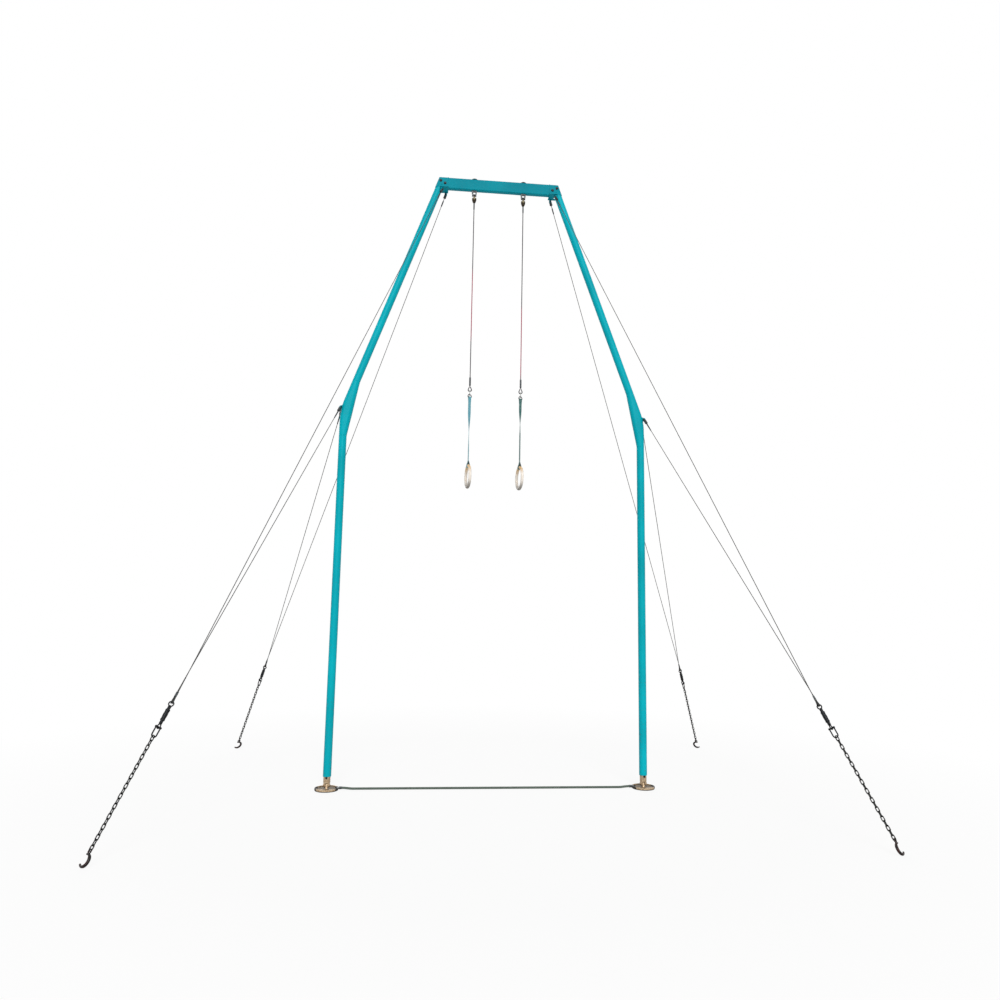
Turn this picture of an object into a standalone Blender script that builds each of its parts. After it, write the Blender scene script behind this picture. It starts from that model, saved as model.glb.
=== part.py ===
"""Gymnastic rings on a guyed competition frame, as separate pieces, in metres.

Z is up and the floor is z = 0. X runs along the crossbeam and Y from the front to the rear. The origin
is on the floor, midway between the two feet. The frame and its guys are made for the right half, where
x is positive, and mirrored for the left half. The two sets of hanging pieces are made on the Z axis
and moved to their places.
"""

import math

import bmesh
import bpy
from mathutils import Matrix, Vector

# Clearances
FACE_GAP = 0.0003           # between pieces that touch face to face
SLEEVE_GAP = 0.0008         # round a sleeve in its tube
PIN_GAP = 0.0005            # round a pin in its hole
SEAT_GAP = 0.0010           # between two hooked loops of rod
SLANT_SEAT = 0.0020         # between the link and the strap eye, which cross at a slant

# Frame
POST_SPACING = 2.907        # between the axes of the lower posts
HEAD_SPACING = 1.138        # between the axes of the upper posts, at the top of the beam
KNEE_HEIGHT = 3.495         # where the axes of a lower and an upper post cross
POST_DIAMETER = 0.073
POST_WALL = 0.003
BEAM_BOTTOM = 5.832
BEAM_HEIGHT = 0.116
BEAM_DEPTH = 0.052
BEAM_WALL = 0.004
BEAM_CORNER = 0.010
SLEEVE_LENGTH = 0.120
SLEEVE_WALL = 0.004

# Knee: a bend whose inner side is filled by a web as thick as the post
KNEE_BEND = 0.10            # length of post, each side of the crossing, that is bent
KNEE_BELOW = 0.25           # from the crossing down to the lower post
KNEE_ABOVE = 0.31           # from the crossing up along the slant to the upper post
KNEE_LUG_HEIGHT = 3.515
LUG_REACH = 0.054           # from the post's axis to the lug's hole
LUG_THICKNESS = 0.008
LUG_RADIUS = 0.013          # round the hole

# Head: the corner box between the beam and an upper post
HEAD_THROAT = 0.058         # from the beam's end to the post, at the underside
HEAD_BEVEL = 0.005
FLANGE_THICKNESS = 0.008
FLANGE_LIP = 0.002
BEAM_PLUG_LENGTH = 0.060

# Bracket under each head, whose ears hold the upper guys
BRACKET_THICKNESS = 0.006
BRACKET_DEPTH = 0.130
BRACKET_REACH = 0.024       # past the inner side of the post
EAR_DROP = 0.032            # from the underside of the beam to the hole in an ear
FRONT_EAR_INSET = 0.033     # from the post's axis in towards the beam
REAR_EAR_INSET = 0.073
EAR_Y = 0.049

# Feet
HEIGHT_PIN_HEIGHT = 0.112
HEIGHT_PIN_DIAMETER = 0.012
HEIGHT_PIN_LENGTH = 0.092
PIN_HEAD_RATIO = 1.6        # of a head's diameter to its pin's
SPIGOT_DIAMETER = 0.062
SPIGOT_WALL = 0.005
SPIGOT_LENGTH = 0.352       # of the round part
FORK_ROOF_GAP = 0.003       # over the foot's lug, inside the fork
FORK_WIDTH = 0.050
FORK_DEPTH = 0.044
FOOT_PIN_HEIGHT = 0.045
FOOT_PIN_DIAMETER = 0.014
FOOT_LUG_THICKNESS = 0.018
FOOT_LUG_RADIUS = 0.014
LUG_FLARE = 1.6             # of the lug's root to its round end
FOOT_DIAMETER = 0.212
FOOT_THICKNESS = 0.008
FOOT_RIM_WIDTH = 0.010
FOOT_RIM_RISE = 0.006
FOOT_NOTCH_GAP = 0.003      # beside the tie, where it passes through the rim
PAD_THICKNESS = 0.006
PAD_MARGIN = 0.002

# Floor tie between the feet
TIE_DIAMETER = 0.020
TIE_BOLT_REACH = 0.082      # from the middle of the foot
TIE_BOLT_DIAMETER = 0.012
TIE_TAB_THICKNESS = 0.008
TIE_TAB_WIDTH = 0.026
TIE_FERRULE_LENGTH = 0.030
TIE_FERRULE_DIAMETER = 0.024
TIE_SLOPE_LENGTH = 0.100    # from the ferrule down to the floor

# Guys
ANCHOR_SPACING_X = 5.42     # between the lines of pull on the floor, along the beam
ANCHOR_SPACING_Y = 4.01     # and from front to rear
LOWER_CABLE_SHARE = 0.40    # how far up from the knee to the head the chain aims
JUNCTION_REACH = 1.108      # from the floor along the chain to the turnbuckle's upper eye
GUY_DIAMETER = 0.006
FORK_GAP = 0.001            # between a fork's cheek and its lug
CHEEK_THICKNESS = 0.005
CLEVIS_DIAMETER = 0.010
FORK_NOSE = 0.010           # of a fork's cheeks past the pin
CHEEK_WIDTH = 0.020
SWAGE_DIAMETER = 0.013
KNEE_FORK_LENGTH = 0.060
KNEE_SWAGE_LENGTH = 0.100
KNEE_SWAGE_END = 0.010      # diameter of the swage's lower end
HEAD_FORK_LENGTH = 0.042
HEAD_NECK_LENGTH = 0.022    # bare cable between the fork and the long ferrule at the head
HEAD_FERRULE_LENGTH = 0.065
GUY_FERRULE_LENGTH = 0.040
GUY_FERRULE_DIAMETER = 0.011
THIMBLE_ROD = 0.008         # rope and thimble together
THIMBLE_BORE = 0.014
THIMBLE_HEIGHT = 0.036      # from the middle of the bore to the ferrule

# Turnbuckles
EYE_ROD = 0.009
EYE_BORE = 0.024
EYE_FALL = 0.0030           # of the eye's rod from its middle to where a cable's loop rests
EYE_SCREW_DIAMETER = 0.016
BARREL_LENGTH = 0.118
BARREL_DIAMETER = 0.032
BARREL_END_DIAMETER = 0.024
EYE_NECK = 0.006            # bare screw between an eye and the barrel
THREAD_ENGAGED = 0.035
THREAD_GAP = 0.0005

# Shackle, chain and floor hook
SHACKLE_ROD = 0.010
SHACKLE_WIDTH = 0.038
SHACKLE_LENGTH = 0.070
SHACKLE_PIN_LENGTH = 0.052
SHACKLE_PIN_DIAMETER = 0.013
CHAIN_ROD = 0.008
CHAIN_PITCH = 0.032
CHAIN_WIDTH = 0.027
WELD_OVERLAP = 0.0006       # of parts that are drawn as one solid
HOOK_ROD = 0.021
HOOK_TIP = 0.012
HOOK_RADIUS = 0.0375        # of the rod's middle
HOOK_EYE_ROD = 0.009
HOOK_EYE_BORE = 0.016
HOOK_START = 65             # degrees: the hook's bow starts beside the chain's line, which is 90
HOOK_END = 318              # and runs round its back and its foot to here, so that it opens outwards

# Hanging pieces
RING_SPACING = 0.50
RING_HEIGHT = 2.80          # floor to the lowest point of the ring's bore
RING_BORE = 0.180
RING_ROD = 0.028
RING_TURN = math.radians(8)         # of the ring's plane from the YZ plane
STRAP_WIDTH = 0.035
STRAP_PLY = 0.002
STRAP_DROP = 0.684          # from the bar of the strap eye to the top of the ring
STRAP_LOOP_HEIGHT = 0.055   # of each sewn loop, from its middle to where the plies meet
STRAP_LOOP_PLAY = 0.0010
EYE_TURN = math.radians(40)         # of the strap eye's plane from the XZ plane
STRAP_EYE_ROD = 0.008
STRAP_EYE_HEIGHT = 0.026
LINK_ROD = 0.008
LINK_LENGTH = 0.050         # between the middles of the end rods
LINK_BORE = 0.022
CABLE_DIAMETER = 0.009
CABLE_LOOP_ROD = 0.010
CABLE_LOOP_BORE = 0.022
CABLE_LOOP_HEIGHT = 0.045
CABLE_FERRULE_LENGTH = 0.090
CABLE_FERRULE_DIAMETER = 0.018

# Yoke, swing block and swivel bell
YOKE_DROP = 0.045           # underside of the beam to the yoke's pin
YOKE_WIDTH = 0.052
YOKE_FOOT_WIDTH = 0.042     # at the pin
YOKE_DEPTH = 0.024
YOKE_GAP = 0.022            # between its legs
YOKE_PLATE = 0.010
YOKE_PIN_DIAMETER = 0.010
STUD_DIAMETER = 0.016
WASHER_DIAMETER = 0.060
WASHER_THICKNESS = 0.005
NUT_DIAMETER = 0.028
NUT_HEIGHT = 0.016
BLOCK_WIDTH = 0.019
BLOCK_DEPTH = 0.014
BLOCK_HUB_DIAMETER = 0.021
CROSS_PIN_DROP = 0.021      # yoke pin to cross pin
CROSS_PIN_DIAMETER = 0.008
BELL_DROP = 0.012           # cross pin to the top of the bell
BELL_DIAMETER = 0.045
BELL_BAND_HEIGHT = 0.018
BELL_HEIGHT = 0.051
BELL_END_DIAMETER = 0.022
BELL_EAR_THICKNESS = 0.005
BELL_ROOF = 0.010
STEM_DIAMETER = 0.014
STEM_HEAD_DIAMETER = 0.022
STEM_HEAD_HEIGHT = 0.013
STEM_REACH = 0.068          # below the bell

# Facets
POST_SIDES = 16
ROUND_SIDES = 12
ROPE_SIDES = 8
ROD_SIDES = 6
RING_STEPS = 32
RING_SIDES = 10
FOOT_SIDES = 24
EYE_STEPS = 10
KNEE_STEPS = 3
DOME_ANGLES = [math.radians(a) for a in (0, 45, 80)]
SMOOTH_BELOW = math.radians(35)    # edges that turn less are smooth

# Colours as sRGB hex, metallic and roughness
FINISHES = {
    "teal_paint": ("0FA3B1", 0.0, 0.35),
    "galvanised_steel": ("9AA0A3", 1.0, 0.45),
    "yellow_zinc": ("C0A07C", 1.0, 0.40),
    "dark_steel": ("3A3D3C", 1.0, 0.50),
    "bright_steel": ("B9BBB8", 1.0, 0.35),
    "wire_rope": ("8E918E", 1.0, 0.45),
    "brass": ("8C7A4A", 1.0, 0.40),
    "hook_iron": ("241818", 1.0, 0.55),
    "webbing_light": ("6FA9B4", 0.0, 0.90),
    "webbing_dark": ("2F7A76", 0.0, 0.90),
    "ring_wood": ("D9B98A", 0.0, 0.45),
    "black_rubber": ("1B1B1B", 0.0, 0.85),
    "tie_rope": ("4F5A52", 0.0, 0.70),
}

X = Vector((1, 0, 0))
Y = Vector((0, 1, 0))
Z = Vector((0, 0, 1))

POST_X = POST_SPACING / 2
POST_RADIUS = POST_DIAMETER / 2
POST_BORE_RADIUS = POST_RADIUS - POST_WALL
SLEEVE_RADIUS = POST_BORE_RADIUS - SLEEVE_GAP
BEAM_TOP = BEAM_BOTTOM + BEAM_HEIGHT
KNEE = Vector((POST_X, 0, KNEE_HEIGHT))
HEAD = Vector((HEAD_SPACING / 2, 0, BEAM_TOP))
SLANT = (HEAD - KNEE).normalized()
POST_BOTTOM = HEIGHT_PIN_HEIGHT + HEIGHT_PIN_DIAMETER / 2 + FACE_GAP
RING_RADIUS = (RING_BORE + RING_ROD) / 2
RING_TOP = RING_HEIGHT + RING_BORE + RING_ROD / 2
YOKE_PIN_Z = BEAM_BOTTOM - YOKE_DROP
CROSS_PIN_Z = YOKE_PIN_Z - CROSS_PIN_DROP
BELL_TOP = CROSS_PIN_Z - BELL_DROP


def clear_scene():
    """Remove whatever the file holds."""
    for old in list(bpy.data.objects):
        bpy.data.objects.remove(old)


def colour(code):
    """Linear RGBA of an sRGB hex colour."""
    levels = [int(code[i:i + 2], 16) / 255 for i in (0, 2, 4)]
    linear = [v / 12.92 if v <= 0.04045 else ((v + 0.055) / 1.055) ** 2.4 for v in levels]
    return (*linear, 1.0)


def make_finish(name):
    """Principled material of one finish."""
    code, metallic, roughness = FINISHES[name]
    material = bpy.data.materials.new(name)
    material.use_nodes = True
    shader = material.node_tree.nodes["Principled BSDF"]
    shader.inputs["Base Color"].default_value = colour(code)
    shader.inputs["Metallic"].default_value = metallic
    shader.inputs["Roughness"].default_value = roughness
    return material


def mesh_of(bm):
    """Mesh of a closed bmesh, with its faces pointing out."""
    bmesh.ops.recalc_face_normals(bm, faces=bm.faces)
    mesh = bpy.data.meshes.new("shape")
    bm.to_mesh(mesh)
    bm.free()
    return mesh


def lofted(rings, closed=False):
    """Solid through rings of equally many points: capped at both ends, or closed on itself."""
    bm = bmesh.new()
    loops = [[bm.verts.new(point) for point in ring] for ring in rings]
    following = loops[1:] + loops[:1] if closed else loops[1:]
    for low, high in zip(loops, following):
        for k in range(len(low)):
            n = (k + 1) % len(low)
            bm.faces.new((low[k], low[n], high[n], high[k]))
    if not closed:
        bm.faces.new(loops[0])
        bm.faces.new(loops[-1])
    return mesh_of(bm)


def circle(radius, z, sides):
    """Ring of points about the Z axis."""
    steps = [(k + 0.5) * math.tau / sides for k in range(sides)]
    return [Vector((radius * math.cos(a), radius * math.sin(a), z)) for a in steps]


def turned(profile, sides=ROUND_SIDES, hollow=False):
    """Solid turned about Z from (radius, height) points. A hollow one has a profile that closes."""
    return lofted([circle(radius, z, sides) for radius, z in profile], closed=hollow)


def cylinder(radius, low, high, sides=ROUND_SIDES):
    """Plain round bar along Z."""
    return turned([(radius, low), (radius, high)], sides)


def prism(outline, low, high, bevel=0.0):
    """Solid of a flat (x, y) outline between two heights, with its rims bevelled."""
    bm = bmesh.new()
    floor = [bm.verts.new((x, y, low)) for x, y in outline]
    roof = [bm.verts.new((x, y, high)) for x, y in outline]
    bm.faces.new(floor)
    bm.faces.new(roof)
    for k in range(len(outline)):
        n = (k + 1) % len(outline)
        bm.faces.new((floor[k], floor[n], roof[n], roof[k]))
    bmesh.ops.recalc_face_normals(bm, faces=bm.faces)
    if bevel:
        bmesh.ops.bevel(bm, geom=bm.edges, offset=bevel, segments=1, affect='EDGES')
    return mesh_of(bm)


def hollow_prism(outer, inner, low, high):
    """Tube between two (x, y) outlines of equally many points."""
    rings = [(outer, low), (outer, high), (inner, high), (inner, low)]
    return lofted([[Vector((x, y, z)) for x, y in outline] for outline, z in rings], closed=True)


def block(x_span, y_span, z_span):
    """Plain box."""
    (x0, x1), (y0, y1) = x_span, y_span
    return prism([(x0, y0), (x1, y0), (x1, y1), (x0, y1)], *z_span)


def rounded_rectangle(width, height, corner, steps=3):
    """Outline about the origin with round corners."""
    points = []
    for quarter, (sx, sy) in enumerate(((1, 1), (-1, 1), (-1, -1), (1, -1))):
        for k in range(steps + 1):
            a = (quarter + k / steps) * math.pi / 2
            points.append((sx * (width / 2 - corner) + corner * math.cos(a),
                           sy * (height / 2 - corner) + corner * math.sin(a)))
    return points


def arc(radius, start, end, steps, centre=(0.0, 0.0)):
    """Points of an arc, its ends included. Angles are in degrees."""
    angles = [math.radians(start + (end - start) * k / steps) for k in range(steps + 1)]
    return [(centre[0] + radius * math.cos(a), centre[1] + radius * math.sin(a)) for a in angles]


def rod(path, radii, sides=ROD_SIDES, closed=True):
    """Round rod along a flat path of (x, z) points in the XZ plane, with one radius for each point.

    Each ring is square to the path and widened where the path bends, so that the straight runs keep
    their full thickness.
    """
    points = [Vector((x, 0, z)) for x, z in path]
    last = len(points) - 1
    rings = []
    for i, point in enumerate(points):
        before = points[i - 1] if closed or i > 0 else 2 * point - points[i + 1]
        after = points[(i + 1) % len(points)] if closed or i < last else 2 * point - points[i - 1]
        arrive = (point - before).normalized()
        leave = (after - point).normalized()
        along = (arrive + leave).normalized()
        side = along.cross(Y) / along.dot(leave)
        turns = [(k + 0.5) * math.tau / sides for k in range(sides)]
        rings.append([point + radii[i] * (math.cos(a) * side + math.sin(a) * Y) for a in turns])
    return lofted(rings, closed)


def ring_of_rod(path, diameter, sides=ROD_SIDES):
    """Closed rod of one thickness."""
    return rod(path, [diameter / 2] * len(path), sides)


def teardrop(radius, height, steps=6):
    """Closed path of a loop of rod: an arc about the origin, drawn up to a point above it."""
    rise = math.degrees(math.asin(radius / height))
    return [(0.0, height)] + arc(radius, rise, -180 - rise, steps)


def hoop(radius, centre=(0.0, 0.0)):
    """Closed path of an eye's rod: a full circle that starts at its top."""
    return arc(radius, 90, -270, EYE_STEPS, centre)[:-1]


def stadium(radius, length, steps=4):
    """Closed path of a long link about the origin, with its length between the end middles."""
    half = length / 2 - radius
    return arc(radius, 0, 180, steps, (0, half)) + arc(radius, 180, 360, steps, (0, -half))


def moved(mesh, matrix):
    """The same mesh, put in place by a matrix."""
    mesh.transform(matrix)
    return mesh


def at(x=0.0, y=0.0, z=0.0):
    """Matrix of a plain shift."""
    return Matrix.Translation((x, y, z))


def along(start, direction, side):
    """Matrix with its origin at start, its Z along direction and its X as near as may be to side."""
    z = direction.normalized()
    y = z.cross(side).normalized()
    matrix = Matrix((y.cross(z), y, z)).transposed().to_4x4()
    matrix.translation = start
    return matrix


LIE_ALONG_X = along(Vector(), X, Y)         # turns a bar along Z into one along X
LIE_ALONG_Y = along(Vector(), Y, X)         # and into one along Y
STAND_UP = along(Vector(), -Y, X)           # turns an (x, y) outline into an (x, z) one


def combined(base, others, operation):
    """Mesh of base joined with, or cut by, each of the others."""
    shapes = [bpy.data.objects.new("shape", mesh) for mesh in [base] + others]
    for shape in shapes:
        bpy.context.scene.collection.objects.link(shape)
    for tool in shapes[1:]:
        step = shapes[0].modifiers.new("step", 'BOOLEAN')
        step.operation = operation
        step.solver = 'EXACT'
        step.object = tool
    whole = shapes[0].evaluated_get(bpy.context.evaluated_depsgraph_get())
    result = bpy.data.meshes.new_from_object(whole)
    for shape in shapes:
        bpy.data.objects.remove(shape)
    return result


def joined(base, *others):
    """One solid of several that overlap."""
    return combined(base, list(others), 'UNION')


def cut(base, *cutters):
    """A solid less its cutters."""
    return combined(base, list(cutters), 'DIFFERENCE')


def mirrored(mesh):
    """Copy of a mesh for the left half."""
    copy = mesh.copy()
    copy.transform(Matrix.Diagonal((-1, 1, 1, 1)))
    copy.flip_normals()
    return copy


def piece(name, mesh, finish, origin):
    """One named piece, whose mesh is in world coordinates and whose origin is a point of the world."""
    mesh = mesh.copy()
    mesh.name = name
    mesh.transform(at(*(-origin)))
    mesh.materials.clear()
    mesh.materials.append(finish)
    mesh.shade_smooth()
    mesh.set_sharp_from_angle(angle=SMOOTH_BELOW)
    made = bpy.data.objects.new(name, mesh)
    made.location = origin
    bpy.context.scene.collection.objects.link(made)


def pair(name, mesh, finish, origin):
    """A piece of the right half and its mirror image."""
    piece(name + "_right", mesh, finish, origin)
    piece(name + "_left", mirrored(mesh), finish, Vector((-origin.x, origin.y, origin.z)))


def post_ring(radius, point, normal):
    """Ring of points where a tube along the slant, or along Z, meets a plane.

    The tube's axis passes through the point. It runs along the slant if the point is above the knee.
    """
    axis = SLANT if point.z > KNEE_HEIGHT else Z
    side = Y.cross(axis)
    ring = []
    for k in range(POST_SIDES):
        a = (k + 0.5) * math.tau / POST_SIDES
        spoke = radius * (math.cos(a) * side + math.sin(a) * Y)
        ring.append(point + spoke - axis * (spoke.dot(normal) / axis.dot(normal)))
    return ring


def post_tube(low, low_normal, high, high_normal, outer, inner):
    """Tube between two planes."""
    ends = ((outer, low, low_normal), (outer, high, high_normal),
            (inner, high, high_normal), (inner, low, low_normal))
    return lofted([post_ring(*end) for end in ends], closed=True)


def on_slant(height):
    """Point of the upper post's axis at a height."""
    return KNEE + SLANT * ((height - KNEE_HEIGHT) / SLANT.z)


def knee_ring(outer, inner, tangent, radius):
    """Section of the knee: two half circles, about the post's axis and about the web's edge."""
    side = Y.cross(tangent)
    half = POST_SIDES // 2
    ring = []
    for k in range(POST_SIDES):
        a = (k + 0.5) * math.tau / POST_SIDES - math.pi / 2
        centre = outer if k < half else inner
        ring.append(centre + radius * (math.cos(a) * side + math.sin(a) * Y))
    return ring


def knee_stations():
    """Along the knee: the post's axis, the middle of the web's inner edge, and the tangent."""
    low = KNEE - Z * KNEE_BELOW
    high = KNEE + SLANT * KNEE_ABOVE
    bend_low = KNEE - Z * KNEE_BEND
    bend_high = KNEE + SLANT * KNEE_BEND
    stations = [(low, Z)]
    for k in range(KNEE_STEPS + 1):
        t = k / KNEE_STEPS
        point = bend_low * (1 - t) ** 2 + KNEE * (2 * t * (1 - t)) + bend_high * t ** 2
        stations.append((point, (Z * (1 - t) + SLANT * t).normalized()))
    stations.append((high, SLANT))
    chord = high - low
    return [(point, low + chord * ((point - low).dot(tangent) / chord.dot(tangent)), tangent)
            for point, tangent in stations]


def guy_lug(hole, away, drop=0.0):
    """Lug about a hole, in the upright plane that holds the direction away, and the hole's cutter.

    It runs back from the hole against the direction, and up by the drop if there is one.
    """
    run = Vector((away.x, away.y, 0)).normalized()
    frame = along(hole, run.cross(Z), run)
    if drop:
        outline = [(-LUG_RADIUS, drop)] + arc(LUG_RADIUS, 180, 360, 6) + [(LUG_RADIUS, drop)]
    else:
        back = POST_BORE_RADIUS - 2 * POST_WALL - LUG_REACH
        outline = [(back, 2 * LUG_RADIUS), (back, -2 * LUG_RADIUS)] + arc(LUG_RADIUS, -90, 90, 6)
    half = LUG_THICKNESS / 2
    plate = moved(prism(outline, -half, half), frame)
    bore = moved(cylinder(CLEVIS_DIAMETER / 2 + PIN_GAP, -LUG_THICKNESS, LUG_THICKNESS), frame)
    return plate, bore


def make_knee(junctions):
    """Bent tube with its web, a sleeve into each post and two lugs for the lower guys."""
    stations = knee_stations()
    ends = []
    for (point, edge, tangent), away in ((stations[0], -1), (stations[-1], 1)):
        tip = point + tangent * (away * SLEEVE_LENGTH)
        ends.append([(tip, tip, tangent), (point, point, tangent)])
    low, high = ends[0], ends[1][::-1]
    bore = SLEEVE_RADIUS - SLEEVE_WALL
    runs = ((low, SLEEVE_RADIUS), (stations, POST_RADIUS), (high, SLEEVE_RADIUS), (high[::-1], bore),
            (stations[-2:0:-1], POST_BORE_RADIUS), (low[::-1], bore))
    shell = lofted([knee_ring(*station, radius) for run, radius in runs for station in run], closed=True)
    lugs = [guy_lug(lower_attachment(junction), junction - KNEE) for junction in junctions]
    body = joined(shell, *[plate for plate, bore in lugs])
    return cut(body, *[bore for plate, bore in lugs])


def make_lower_post():
    """Upright tube from the height pin to the knee."""
    low = Vector((POST_X, 0, POST_BOTTOM))
    high = KNEE - Z * (KNEE_BELOW + FACE_GAP)
    return post_tube(low, Z, high, Z, POST_RADIUS, POST_BORE_RADIUS)


def make_upper_post():
    """Slanted tube from the knee to the head, cut level at the top."""
    low = KNEE + SLANT * (KNEE_ABOVE + FACE_GAP)
    high = on_slant(BEAM_BOTTOM - FACE_GAP)
    return post_tube(low, SLANT, high, Z, POST_RADIUS, POST_BORE_RADIUS)


def post_side(height, side):
    """X of the upper post's outer (1) or inner (-1) edge at a height."""
    return on_slant(height).x + side * POST_RADIUS / SLANT.z


def head_start():
    """X of the plane where the beam meets the head."""
    return post_side(BEAM_BOTTOM, -1) - HEAD_THROAT


def beam_outline(shrink):
    """Section of the beam, drawn in by shrink on every side."""
    corner = max(BEAM_CORNER - shrink, BEAM_CORNER / 4)
    return rounded_rectangle(BEAM_DEPTH - 2 * shrink, BEAM_HEIGHT - 2 * shrink, corner)


def across_beam(x):
    """Matrix that lays an outline made in the XY plane across the beam at x."""
    return along(Vector((x, 0, BEAM_BOTTOM + BEAM_HEIGHT / 2)), X, Y)


def make_crossbeam():
    """Hollow beam with a hole through it for each yoke's stud."""
    half = head_start() - FACE_GAP
    tube = hollow_prism(beam_outline(0), beam_outline(BEAM_WALL), -half, half)
    moved(tube, across_beam(0))
    reach = BEAM_WALL * 2
    holes = [moved(cylinder(STUD_DIAMETER / 2 + PIN_GAP, BEAM_BOTTOM - reach, BEAM_TOP + reach),
                   at(x=side * RING_SPACING / 2)) for side in (-1, 1)]
    return cut(tube, *holes)


def make_head():
    """Corner box with a flange against the beam, a plug into it and a sleeve into the post."""
    start = head_start()
    back = start + FLANGE_THICKNESS / 4
    outline = [(back, BEAM_TOP), (post_side(BEAM_TOP, 1), BEAM_TOP),
               (post_side(BEAM_BOTTOM, 1), BEAM_BOTTOM), (back, BEAM_BOTTOM)]
    half = BEAM_DEPTH / 2
    box = moved(prism(outline, -half, half, HEAD_BEVEL), STAND_UP)
    lip = half + FLANGE_LIP
    flange = block((start, start + FLANGE_THICKNESS), (-lip, lip),
                   (BEAM_BOTTOM + FACE_GAP, BEAM_TOP - FACE_GAP))
    plug = prism(beam_outline(BEAM_WALL + SLEEVE_GAP), -BEAM_PLUG_LENGTH, FLANGE_THICKNESS / 2)
    moved(plug, across_beam(start))
    inside = SLEEVE_LENGTH / 3
    sleeve = post_tube(on_slant(BEAM_BOTTOM - SLEEVE_LENGTH), SLANT, on_slant(BEAM_BOTTOM + inside), Z,
                       SLEEVE_RADIUS, SLEEVE_RADIUS - SLEEVE_WALL)
    return joined(box, flange, plug, sleeve)


def make_bracket(junctions):
    """Plate under the head, open round the post, with one ear for each upper guy."""
    top = BEAM_BOTTOM - FACE_GAP
    start = head_start()
    throat = post_side(BEAM_BOTTOM, -1) - FLANGE_LIP
    end = post_side(BEAM_BOTTOM, -1) + BRACKET_REACH
    wide = BRACKET_DEPTH / 2
    slot = POST_RADIUS + FLANGE_LIP
    outline = [(start, -wide), (end, -wide), (end, -slot), (throat, -slot),
               (throat, slot), (end, slot), (end, wide), (start, wide)]
    plate = prism(outline, top - BRACKET_THICKNESS, top)
    ears = []
    for junction in junctions:
        hole = upper_attachment(junction.y)
        ears.append(guy_lug(hole, junction - hole, EAR_DROP - BRACKET_THICKNESS / 2))
    body = joined(plate, *[ear for ear, bore in ears])
    return cut(body, *[bore for ear, bore in ears])


def make_spigot():
    """Tube inside the lower post, with a fork at its foot and holes for both pins."""
    radius = SPIGOT_DIAMETER / 2
    bore = radius - SPIGOT_WALL
    shoulder = FOOT_PIN_HEIGHT + FOOT_LUG_RADIUS + FORK_ROOF_GAP
    top = shoulder + SPIGOT_LENGTH
    cup = turned([(radius, shoulder), (radius, top), (bore, top), (bore, shoulder + SPIGOT_WALL)], POST_SIDES)
    half = FORK_DEPTH / 2
    root = shoulder - FOOT_PIN_HEIGHT + SPIGOT_WALL / 2
    outline = arc(half, 180, 360, 8) + [(half, root), (-half, root)]
    gap = FOOT_LUG_THICKNESS / 2 + FORK_GAP
    pin_frame = at(z=FOOT_PIN_HEIGHT) @ LIE_ALONG_X
    cheeks = [moved(prism(outline, *span), pin_frame)
              for span in ((gap, FORK_WIDTH / 2), (-FORK_WIDTH / 2, -gap))]
    foot_bore = moved(cylinder(FOOT_PIN_DIAMETER / 2 + PIN_GAP, -FORK_WIDTH, FORK_WIDTH), pin_frame)
    height_bore = moved(cylinder(HEIGHT_PIN_DIAMETER / 2 + PIN_GAP, -radius * 2, radius * 2),
                        at(z=HEIGHT_PIN_HEIGHT) @ LIE_ALONG_Y)
    whole = cut(joined(cup, *cheeks), foot_bore, height_bore)
    return moved(whole, at(x=POST_X))


def make_height_pin():
    """Pin through the spigot that the post stands on."""
    half = HEIGHT_PIN_LENGTH / 2
    radius = HEIGHT_PIN_DIAMETER / 2
    shoulder = POST_RADIUS + SEAT_GAP
    head = radius * PIN_HEAD_RATIO
    profile = [(radius, -half), (radius, shoulder), (head, shoulder), (head, half)]
    return moved(turned(profile), at(x=POST_X, z=HEIGHT_PIN_HEIGHT) @ STAND_UP)


def foot_floor():
    """Height of the underside of the foot plate."""
    return PAD_THICKNESS + FACE_GAP


def tie_height():
    """Height of the middle of the tie's tabs, which lie on the foot plates."""
    return foot_floor() + FOOT_THICKNESS + FACE_GAP + TIE_TAB_THICKNESS / 2


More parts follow.
